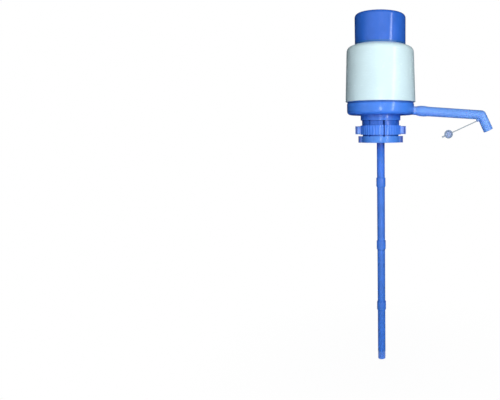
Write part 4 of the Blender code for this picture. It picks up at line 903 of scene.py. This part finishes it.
# %% Join and bore the base
worked(
    base,
    "UNION",
    upright((0, 0), RISER_FOOT, DECK, TUBE_RADIUS, sides=40),
    rod(on_duct(0), on_duct(NIPPLE_END), DUCT_RADIUS, sides=40),
    rod(on_duct(COLLAR_START), on_duct(SPOUT_START - SPOUT_GAP), COLLAR_RADIUS, sides=40),
    box((WEB_START, -WEB_HALF, WEB_FOOT), (BASE_BORE, WEB_HALF, WEB_TOP)),
    box((-WEB_HALF, -CROSS_REACH, CROSS_FOOT), (WEB_HALF, CROSS_REACH, DUCT_HEIGHT)),
    box((-WEB_HALF, -CROSS_REACH, WEB_FOOT), (WEB_HALF, -WELL_RADIUS, DUCT_HEIGHT)),
    box((-WEB_HALF, WELL_RADIUS, WEB_FOOT), (WEB_HALF, CROSS_REACH, DUCT_HEIGHT)),
    *(upright(place, WEB_FOOT, DECK, BOSS_RADIUS, sides=20) for place in bosses),
)
worked(
    base,
    "DIFFERENCE",
    *(upright(place, SCREW_TIP - SCREW_SPARE, DECK + OVERRUN, SCREW_HOLE, sides=16) for place in bosses),
    upright((0, 0), RISER_FOOT - OVERRUN, DUCT_HEIGHT, RISER_BORE, sides=32),
    rod(on_duct(-RISER_BORE), on_duct(NIPPLE_END + OVERRUN), DUCT_BORE, sides=32),
    swept([(*duct_line(distance), radius) for distance, radius in groove], sides=40),
)

# %% Paint the base
THIN_FROM = 59


def in_reveal(centre):
    """Whether a face lies in the narrow joint between the base and the housing."""
    return REVEAL_FOOT - 0.1 < centre.z < SNAP_HEIGHT - 0.3 and centre.xy.length > BASE_BORE + 0.1


finished(base, "base", ["base_body"], body_plastic)
# Painted light: the thin nipple is paler than the disc.
repainted(base, thin_painted_light_plastic, lambda centre: centre.x > THIN_FROM)
# Painted shade: the reveal under the housing's foot is darker.
repainted(base, reveal_shade_plastic, in_reveal)

# %% [markdown]
# ## Slotted collet
# The collet is one sleeve cut into eight fingers. Its slots stop short of both ends, so the rim below
# stays a closed ring. Inside, each finger has a hook to catch with, and just above the rim the fingers are
# thinner, so they bend there. The two small tabs on the rim are for the fingertips that hold the pump
# while the lock ring is pushed down.

# %% Spin the collet
COLLET_FOOT, COLLET_TOP, TAB_END, RIM_RADIUS = measured("neck_collet")
COLLET_BORE, COLLET_RADIUS = 28.6, 31.6
BEAD_RADIUS, BEAD_LOW, BEAD_HIGH = COLLET_RADIUS + 0.6, 0.2, 2.0
FINGER_BORE, FINGER_RADIUS, FINGER_FOOT_RADIUS, THINNED_RADIUS = 30.3, 32.6, 32.8, 31.5
FINGER_TOP = SPIGOT_FOOT - PLAY
RIM_TOP = COLLET_FOOT + 11.3
THINNED_LOW, THINNED_HIGH = RIM_TOP + 2.0, RIM_TOP + 2.8
SKIRT_BORE, WEB_UNDER = RIM_RADIUS - 2.1, RIM_TOP - 2.2
GUIDE_BORE, GUIDE_WALL, GUIDE_FOOT = 28.2, 2.0, COLLET_FOOT + 2.3
HOOK_RADIUS, HOOK_HEIGHTS = 26.7, (-21.0, -15.0, -13.2, -12.0)
STEP_LOW, STEP_HIGH = -8.5, -6.5

collet = as_object(
    "collet_moulding",
    spun(
        [
            (COLLET_RADIUS, COLLET_TOP, EDGE_BREAK),
            (COLLET_RADIUS, BEAD_HIGH),
            (BEAD_RADIUS, BEAD_HIGH - 0.6),
            (BEAD_RADIUS, BEAD_LOW),
            (COLLET_RADIUS, BEAD_LOW),
            (COLLET_RADIUS, FINGER_TOP),
            (FINGER_RADIUS, FINGER_TOP, 0.25),
            (FINGER_FOOT_RADIUS, THINNED_HIGH),
            (THINNED_RADIUS, THINNED_LOW),
            (THINNED_RADIUS, RIM_TOP),
            (RIM_RADIUS, RIM_TOP, 0.35),
            (RIM_RADIUS, COLLET_FOOT, 0.35),
            (SKIRT_BORE, COLLET_FOOT, 0.35),
            (SKIRT_BORE, WEB_UNDER),
            (GUIDE_BORE + GUIDE_WALL, WEB_UNDER),
            (GUIDE_BORE + GUIDE_WALL, GUIDE_FOOT, 0.3),
            (GUIDE_BORE, GUIDE_FOOT, 0.5),
            (GUIDE_BORE, RIM_TOP),
            (FINGER_BORE, THINNED_LOW),
            *zip((FINGER_BORE, HOOK_RADIUS, HOOK_RADIUS, FINGER_BORE), HOOK_HEIGHTS),
            (FINGER_BORE, STEP_LOW),
            (COLLET_BORE, STEP_HIGH),
            (COLLET_BORE, COLLET_TOP, EDGE_BREAK),
        ],
        sides=96,
    ),
)

# %% Add the tabs and cut the slots
TAB_HALF, TAB_FILLET, PANEL_BORDER, PANEL_DEPTH = 8.0, 3.0, 1.3, 0.7
FINGERS, FIRST_SLOT, SLOT_HALF, SLOT_TOP, SLOT_FOOT = 8, radians(-80), 1.35, -3.0, RIM_TOP - 0.8


def panelled_tab(root, reach, low, high, turn):
    """A finger tab with round outer corners and a shallow panel sunk in its front and back."""
    bm = box((root, -TAB_HALF, low), (reach, TAB_HALF, high), 0, TAB_FILLET)
    sides = [face for face in bm.faces if abs(face.normal.y) > 0.99]
    bmesh.ops.inset_individual(bm, faces=sides, thickness=PANEL_BORDER * MM, depth=-PANEL_DEPTH * MM)
    bmesh.ops.rotate(bm, verts=bm.verts, matrix=Matrix.Rotation(turn, 3, "Z"))
    return bm


tabs = [panelled_tab(FINGER_FOOT_RADIUS, TAB_END, COLLET_FOOT, RIM_TOP, side) for side in (0, pi)]
worked(collet, "UNION", *tabs)
slot_low = (HOOK_RADIUS - OVERRUN, -SLOT_HALF, SLOT_FOOT)
slot_high = (RIM_RADIUS + OVERRUN, SLOT_HALF, SLOT_TOP)
slots = [box(slot_low, slot_high, FIRST_SLOT + i * 2 * pi / FINGERS) for i in range(FINGERS)]
worked(collet, "DIFFERENCE", *slots)
finished(collet, "base", ["neck_collet"], body_plastic, edge=0.2)

# %% Paint the collet
TAB_FROM = 33

# Painted shade: the fingers between the spigot and the lock ring are darker.
repainted(collet, finger_shade_plastic, lambda centre: RIM_TOP < centre.z < FINGER_TOP)
# Painted highlight: the rim's outer wall is paler.
repainted(collet, rim_highlight_plastic, lambda centre: centre.z < RIM_TOP - 0.1 and centre.xy.length > TAB_FROM)
# Painted shade: the tabs on the rim are darker.
repainted(collet, tab_edge_shade_plastic, lambda centre: abs(centre.x) > TAB_FROM and centre.z < RIM_TOP + 0.1)

# %% [markdown]
# ## Lock ring
# The ring slides down the collet and holds its fingers shut. Fine upright ribs give a grip, two wings take
# the push, and a single deep score marks the place that lines up with a slot. The ribs start as one circle
# whose points step in and out. It is drawn up into a solid and bored through, so all the ribs are one
# clean skin.

# %% Rib the lock ring
RIBS, RIB_DEPTH = 42, 0.6
RIB_SHAPE = (1, 1, 0.2, 0.04, 0, 0, 0.04, 0.2)
RING_LOW, RING_HIGH, WING_END, _ = measured("lock_ring")
RING_RADIUS, RING_BORE = 35.3, FINGER_FOOT_RADIUS + 0.4

bm = bmesh.new()
steps_round = RIBS * len(RIB_SHAPE)
bmesh.ops.create_circle(bm, cap_ends=True, segments=steps_round, radius=RING_RADIUS * MM)
for i, point in enumerate(bm.verts):
    point.co *= 1 - RIB_DEPTH * RIB_SHAPE[i % len(RIB_SHAPE)] / RING_RADIUS
bmesh.ops.translate(bm, verts=bm.verts, vec=(0, 0, RING_LOW * MM))
drawn = bmesh.ops.extrude_face_region(bm, geom=list(bm.faces))["geom"]
lifted = [item for item in drawn if isinstance(item, bmesh.types.BMVert)]
bmesh.ops.translate(bm, verts=lifted, vec=(0, 0, (RING_HIGH - RING_LOW) * MM))
ring = as_object("lock_ring_moulding", bm)
worked(ring, "DIFFERENCE", upright((0, 0), RING_LOW - OVERRUN, RING_HIGH + OVERRUN, RING_BORE, sides=128))

# %% Add the wings and sink the pockets
WING_ROOT, WING_LOW, WING_HIGH, WING_WALL = 34.1, RING_LOW + 0.9, RING_HIGH - 1.2, 2.0
POCKET_HALF, POCKET_FILLET = TAB_HALF - WING_WALL, 1.0
SCORE_FLOOR, SCORE_HALF = 33.8, 1.1

wings = [panelled_tab(WING_ROOT, WING_END, WING_LOW, WING_HIGH, side) for side in (0, pi)]
worked(ring, "UNION", *wings)
pocket_low = (WING_ROOT + WING_WALL, -POCKET_HALF, WING_LOW - OVERRUN)
pocket_high = (WING_END - WING_WALL, POCKET_HALF, WING_HIGH - WING_WALL)
pockets = [box(pocket_low, pocket_high, side, POCKET_FILLET, (1, -1)) for side in (0, pi)]
score_low = (SCORE_FLOOR, -SCORE_HALF, RING_LOW - OVERRUN)
score_high = (RING_RADIUS + OVERRUN, SCORE_HALF, RING_HIGH + OVERRUN)
worked(ring, "DIFFERENCE", *pockets, box(score_low, score_high, FIRST_SLOT))
finished(ring, "lock", ["lock_ring"], ring_plastic, sharp=50)

# %% Paint the lock ring
WING_FROM, PANEL_HALF = 36, 7.5


def in_score(centre):
    """Whether a face lies in the score, which points along the first slot."""
    outwards = Vector((cos(FIRST_SLOT), sin(FIRST_SLOT)))
    beside = abs(centre.xy.cross(outwards))
    return centre.xy.dot(outwards) > SCORE_FLOOR - 0.4 and beside < SCORE_HALF + 0.05


# Painted shade: the wings are darker, all but their sunk middles.
repainted(ring, tab_edge_shade_plastic, lambda centre: abs(centre.x) > WING_FROM)
# Painted light: the sunk middle of each wing is paler than its edges.
repainted(ring, thin_painted_light_plastic, lambda centre: abs(centre.x) > WING_FROM and abs(centre.y) < PANEL_HALF)
repainted(ring, score_plastic, in_score)

# %% [markdown]
# ## Spout
# The spout is a belled tube that pushes on the nipple up to a collar, runs out at a slight fall and turns
# down at its end. Its mouth is tapered outside, so the bell swells gently out of the collar. A ring of
# points is carried along the centre line, round the turn and back through the bore, which gives one closed
# wall of even thickness with no seam.

# %% Lay out the spout's centre line
TURN_RADIUS, TURN_ANGLE = 9.9, radians(60.4)
SPOUT_CORNER, SPOUT_DROP = 177.4, 30.0
tangent = TURN_RADIUS * tan(TURN_ANGLE / 2)
TURN_START = SPOUT_CORNER - tangent
TURN_END = TURN_START + TURN_RADIUS * TURN_ANGLE
TIP = TURN_END + SPOUT_DROP - tangent
SPOUT_FRAME = Matrix.Translation((0, 0, DUCT_HEIGHT * MM)) @ Matrix.Rotation(SLOPE, 4, "Y")


def spout_line(distance):
    """The place on the spout's centre line in its own frame, and the direction square to it."""
    arc = min(max((distance - TURN_START) / TURN_RADIUS, 0), TURN_ANGLE)
    beyond = distance - TURN_START - arc * TURN_RADIUS
    x = TURN_START + TURN_RADIUS * sin(arc) + beyond * cos(arc)
    z = -TURN_RADIUS * (1 - cos(arc)) - beyond * sin(arc)
    return Vector((x, 0, z)), Vector((sin(arc), 0, cos(arc)))


print(f"the spout turns from {TURN_START:.1f} to {TURN_END:.1f} and ends at {TIP:.1f} mm")

# %% [markdown]
# ### Section and knuckle
# The section is drawn as if the spout were straight, distance along it against radius. Stations are added
# in the turn, where the rings have to stand close together. On the real moulding the outside of the bend is
# a tight knuckle, not an even arc, so there each ring is pushed out to two straight runs that meet in a
# small fillet.

# %% Draw the section and the knuckle
BELL_START, BELL_END, PIPE_START = 69.0, 77.4, 83.4
MOUTH_RIM, BELL_FIRST, BELL_LAST, BELL_FILLET = 7.65, 9.0, 9.15, 3
PIPE_FIRST, PIPE_RADIUS, TIP_RADIUS, PIPE_BORE = 8.3, 8.1, 8.46, 6.3
SOCKET_BORE, SEAL_BORE, SEAL_START, SEAL_END = 7.05, 6.65, 77.9, 82.3
KNUCKLE_INSET, TURN_STATIONS = 1.3, 16

spout_section = filleted(
    [
        (SPOUT_START, MOUTH_RIM, 0.2),
        (BELL_START, BELL_FIRST, BELL_FILLET),
        (BELL_END, BELL_LAST, BELL_FILLET),
        (PIPE_START, PIPE_FIRST, BELL_FILLET),
        (TURN_START, PIPE_RADIUS),
        (TIP, TIP_RADIUS, 0.9),
        (TIP, PIPE_BORE, 0.4),
        (SEAL_END, PIPE_BORE),
        (SEAL_END, SEAL_BORE),
        (SEAL_START, SEAL_BORE),
        (SEAL_START, SOCKET_BORE),
        (SPOUT_START, SOCKET_BORE, 0.2),
    ]
)


def with_stations(corners, stations):
    """Adds points to an outline wherever its sides cross the stations of the turn."""
    full = []
    for here, following in zip(corners, corners[1:] + corners[:1]):
        full.append(here)
        low, high = sorted((here.x, following.x))
        between = [station for station in stations if low + 1e-3 < station < high - 1e-3]
        for station in between if here.x < following.x else reversed(between):
            share = (station - here.x) / (following.x - here.x)
            full.append(here.lerp(following, share))
    return full


def knuckled(distance, radius):
    """A ring of the spout; in the turn its outer side is pushed out to a knuckle with a small fillet."""
    centre, up = spout_line(distance)
    half = TURN_ANGLE / 2
    away = abs((distance - TURN_START) / TURN_RADIUS - half)
    if away >= half:
        return centre, up, radius
    reach = TURN_RADIUS + radius
    fillet = radius + KNUCKLE_INSET
    if reach * tan(half - away) < (reach - fillet) * tan(half):
        pushed = reach / cos(half - away)
    else:
        middle = (reach - fillet) / cos(half)
        pushed = middle * cos(away) + sqrt(fillet**2 - (middle * sin(away)) ** 2)
    swell = (pushed - reach) / 2
    return centre + up * swell, up * (1 + swell / radius), radius


stations = [TURN_START + (TURN_END - TURN_START) * i / TURN_STATIONS for i in range(TURN_STATIONS + 1)]
rings = [knuckled(point.x, point.y) for point in with_stations(spout_section, stations)]
spout = as_object("spout_moulding", swept(rings, sides=48))
print("rings of the spout:", len(rings))

# %% [markdown]
# ### Strap ears
# Two small ears under the bend hold the pin of the stopper's strap. Each is a disc with a block up to the
# tube's wall, and one bore runs through both.

# %% Add the strap ears
PIN_X, PIN_Z = TURN_START, -PIPE_RADIUS - 2.2
EAR_INSIDE, EAR_OUTSIDE, EAR_RADIUS, EAR_ROOT, EAR_HOLE = 1.9, 3.3, 1.9, 1.0, 1.2

for side in (-1, 1):
    inner, outer = sorted((side * EAR_INSIDE, side * EAR_OUTSIDE))
    worked(
        spout,
        "UNION",
        rod((PIN_X, inner, PIN_Z), (PIN_X, outer, PIN_Z), EAR_RADIUS, sides=28),
        box((PIN_X - EAR_RADIUS, inner, PIN_Z), (PIN_X + EAR_RADIUS, outer, EAR_ROOT - PIPE_RADIUS)),
    )
beyond = EAR_OUTSIDE + OVERRUN
worked(spout, "DIFFERENCE", rod((PIN_X, -beyond, PIN_Z), (PIN_X, beyond, PIN_Z), EAR_HOLE, sides=20))
spout.data.transform(SPOUT_FRAME)
finished(spout, "spout", ["spout"], spout_plastic)

# %% [markdown]
# ## Outlet stopper and strap
# The stopper is a soft translucent cup with a flange, and its strap, eye and pull tab are moulded with
# it. The cup is spun about a vertical like the other round pieces and then laid on its side. It faces the
# viewer, so its wall shows as a ring round the hub in its middle.

# %% Spin the stopper
STRAP, STRAP_ANGLE = 55.7, radians(24.6)
LIP_RADIUS, LIP_HALF, PLUG_RADIUS, PLUG_END = 7.5, 1, 6.0, 9
HUB_RADIUS, RECESS_RADIUS, RECESS_FLOOR = 2.2, 4.6, 0.4

bm = spun(
    [
        (0, -LIP_HALF),
        (HUB_RADIUS, -LIP_HALF, 0.5),
        (HUB_RADIUS, RECESS_FLOOR, 0.4),
        (RECESS_RADIUS, RECESS_FLOOR, 0.4),
        (RECESS_RADIUS, -LIP_HALF, 0.5),
        (LIP_RADIUS, -LIP_HALF, 0.6),
        (LIP_RADIUS, LIP_HALF, 0.6),
        (PLUG_RADIUS, LIP_HALF, 0.3),
        (PLUG_RADIUS, PLUG_END, 1),
        (0, PLUG_END),
    ],
    sides=56,
)
bmesh.ops.rotate(bm, verts=bm.verts, matrix=Matrix.Rotation(-pi / 2, 3, "X"))
bmesh.ops.translate(bm, verts=bm.verts, vec=(STRAP * MM, 0, 0))
stopper = as_object("stopper_and_strap", bm)

# %% Join the strap, the eye, the pin and the pull tab
CUP_LAP, STRAP_HALF_WIDTH, STRAP_HALF_THICKNESS = 5.5, 1, 0.9
PULL_END, PULL_HALF_THICKNESS, PULL_HALF_WIDTH = 12.5, 0.6, 1.5
EYE_RADIUS, EYE_HALF, SNAP_PIN_RADIUS, SNAP_PIN_HALF = 1.6, 1.6, 0.9, 3.6

strap_end = (STRAP - CUP_LAP, STRAP_HALF_WIDTH, STRAP_HALF_THICKNESS)
pull_low = (STRAP + CUP_LAP, -PULL_HALF_THICKNESS, -PULL_HALF_WIDTH)
pull_high = (STRAP + PULL_END, PULL_HALF_THICKNESS, PULL_HALF_WIDTH)
worked(
    stopper,
    "UNION",
    box((0, -STRAP_HALF_WIDTH, -STRAP_HALF_THICKNESS), strap_end),
    box(pull_low, pull_high),
    rod((0, -EYE_HALF, 0), (0, EYE_HALF, 0), EYE_RADIUS, sides=24),
    rod((0, -SNAP_PIN_HALF, 0), (0, SNAP_PIN_HALF, 0), SNAP_PIN_RADIUS, sides=16),
)
pinned = (
    SPOUT_FRAME
    @ Matrix.Translation((PIN_X * MM, 0, PIN_Z * MM))
    @ Matrix.Rotation(pi - STRAP_ANGLE - SLOPE, 4, "Y")
)
stopper.data.transform(pinned)
finished(stopper, "cap", ["outlet_cap"], stopper_plastic)

# %% Paint the stopper
FLANGE_FROM, STRAP_FROM = 4.5, 7.6

pin = pinned.translation / MM
stopper_middle = pinned @ Vector((STRAP * MM, 0, 0)) / MM
# Painted shade: the flange round the hub is darker.
repainted(stopper, flange_shade_plastic, lambda centre: (centre.xz - stopper_middle.xz).length > FLANGE_FROM)
repainted(stopper, strap_plastic, lambda centre: abs((centre - pin).length - STRAP) > STRAP_FROM)

# %% [markdown]
# ## Dip tube
# Four lengths push together, each into the bell at the top of the next. The lowest is cut off shorter, to
# the depth that it has to reach. The wall is thin and lets a little light through.

# %% Spin the dip tubes
TUBES, TUBE_WALL = 4, 1.1
BELL_RADIUS, BELL_WALL, BELL_DEPTH, BELL_TAPER = 8.2, 0.9, 15, 2

for i in range(TUBES):
    foot, top, *_ = measured(f"dip_tube_{i + 1}")
    tube = as_object(
        f"dip_tube_length_{i + 1}",
        spun(
            [
                (BELL_RADIUS, top, 0.35),
                (BELL_RADIUS, top - BELL_DEPTH, 0.8),
                (TUBE_RADIUS, top - BELL_DEPTH - BELL_TAPER, 0.8),
                (TUBE_RADIUS, foot, 0.3),
                (TUBE_RADIUS - TUBE_WALL, foot, 0.3),
                (TUBE_RADIUS - TUBE_WALL, top - BELL_DEPTH),
                (BELL_RADIUS - BELL_WALL, top - BELL_DEPTH),
                (BELL_RADIUS - BELL_WALL, top, 0.3),
            ],
            sides=56,
        ),
    )
    finished(tube, "base", [f"dip_tube_{i + 1}"], tube_plastic)

# %% [markdown]
# ## Bellows and return spring
# The bellows is a thin convoluted bag between the valve plate and its own top plate. Its folds are
# rounded, because a sharp fold would crack. Both it and the spring inside shorten as the cap goes down.

# %% Spin the bellows
BELLOWS_FOOT, BELLOWS_TOP, BAG_FLANGE, _ = measured("bellows")
FOLDS, CREST, ROOT, WALL, FOLD_ROUND = 9, 39.0, 33.2, 1.2, 1.0
BAG_FLANGE_THICKNESS, BAG_COLLAR_HEIGHT, BAG_COLLAR, BAG_COLLAR_BORE = 2.0, 6.7, 34.5, 31.8

fold_low, fold_high = BELLOWS_FOOT + BAG_FLANGE_THICKNESS, BELLOWS_TOP - BAG_COLLAR_HEIGHT
pitch = (fold_high - fold_low) / FOLDS
folds = [(ROOT, fold_low)]
for i in range(FOLDS):
    folds.append((CREST, fold_low + (i + 0.5) * pitch, FOLD_ROUND))
    folds.append((ROOT, fold_low + (i + 1) * pitch, FOLD_ROUND if i < FOLDS - 1 else 0.2))
lining = [(fold[0] - WALL, *fold[1:]) for fold in reversed(folds)]
bellows = as_object(
    "bellows_moulding",
    spun(
        [
            (BAG_FLANGE, BELLOWS_FOOT, 0.4),
            (BAG_FLANGE, fold_low, 0.4),
            *folds,
            (BAG_COLLAR, fold_high + WALL),
            (BAG_COLLAR, BELLOWS_TOP, EDGE_BREAK),
            (BAG_COLLAR_BORE, BELLOWS_TOP, EDGE_BREAK),
            (BAG_COLLAR_BORE, fold_high + WALL),
            *lining,
            (ROOT - WALL, BELLOWS_FOOT),
        ],
        sides=72,
    ),
)
finished(bellows, "base", ["bellows"], natural_plastic)
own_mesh(bellows)

# %% [markdown]
# ### Return spring
# The coil is wound with spin, which also lifts the wire's section a little at each step. The end turns are
# wound almost closed, so the spring stands square on its seats.

# %% Wind the return spring
WIRE, COIL_RADIUS, STEPS, END_GAP, OPEN_TURNS = 1.8, 14.21, 36, 0.8, 8

low, high = BELLOWS_FOOT + WIRE / 2, BELLOWS_TOP - WIRE / 2
closed_rise = WIRE + END_GAP
open_rise = (high - low - 2 * closed_rise) / OPEN_TURNS
bm = bmesh.new()
start = Matrix.Translation((COIL_RADIUS * MM, 0, low * MM)) @ Matrix.Rotation(pi / 2, 4, "X")
bmesh.ops.create_circle(bm, cap_ends=False, segments=14, radius=WIRE / 2 * MM, matrix=start)
end = list(bm.verts) + list(bm.edges)
for turns, rise in ((1, closed_rise), (OPEN_TURNS, open_rise), (1, closed_rise)):
    lift = (0, 0, rise * MM / STEPS)
    end = bmesh.ops.spin(
        bm, geom=end, cent=(0, 0, 0), axis=(0, 0, 1), dvec=lift, angle=2 * pi * turns, steps=STEPS * turns
    )["geom_last"]
bmesh.ops.holes_fill(bm, edges=[edge for edge in bm.edges if edge.is_boundary], sides=0)
spring = as_object("return_coil", bm)
finished(spring, "base", ["return_spring"], steel)
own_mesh(spring)

# %% [markdown]
# ## Base screws
# Four pan-head screws hold the clamp ring and the valve plate. The head is spun, and a cross recess is
# sunk in it for the driver.

# %% Spin the screws
SCREW_RADIUS, HEAD_RADIUS, HEAD_FLAT, HEAD_HEIGHT, HEAD_ROUND = 1.5, 2.8, 1.6, 1.8, 0.8
RECESS_DEPTH, RECESS_LONG, RECESS_SHORT = 1.0, 1.3, 0.3

for i, (x, y) in enumerate(bosses):
    screw = as_object(
        f"pan_screw_{i + 1}",
        spun(
            [
                (0, SCREW_TIP),
                (SCREW_RADIUS, SCREW_TIP + SCREW_RADIUS),
                (SCREW_RADIUS, SCREW_TOP - HEAD_HEIGHT),
                (HEAD_RADIUS, SCREW_TOP - HEAD_HEIGHT, 0.2),
                (HEAD_RADIUS, SCREW_TOP - HEAD_ROUND, 0.6),
                (HEAD_FLAT, SCREW_TOP),
                (0, SCREW_TOP),
            ],
            sides=28,
            centre=(x, y),
        ),
    )
    low, high = SCREW_TOP - RECESS_DEPTH, SCREW_TOP + OVERRUN
    arms = ((RECESS_LONG, RECESS_SHORT), (RECESS_SHORT, RECESS_LONG))
    recess = [box((x - across, y - along, low), (x + across, y + along, high)) for across, along in arms]
    worked(screw, "DIFFERENCE", *recess)
    finished(screw, "base", [f"base_screw_{i + 1}"], steel)

# %% [markdown]
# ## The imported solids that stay
# The plates, seals and valves have the right shapes already. They get the finish of the real pieces:
# white rigid plastic for the plates, and soft grey rubber for the seals and the umbrella valves.

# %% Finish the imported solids
STAYING = {
    white_plastic: ("valve_plate", "bellows_clamp_ring", "bellows_top_plate"),
    rubber: ("neck_gasket", "deck_seal", "spout_o_ring", "intake_valve", "delivery_valve"),
}
for material, nodes in STAYING.items():
    for node in nodes:
        mesh = frame["nodes"][node].data
        mesh.materials.clear()
        mesh.materials.append(material)
print("packed solids with a new finish:", sum(len(nodes) for nodes in STAYING.values()))
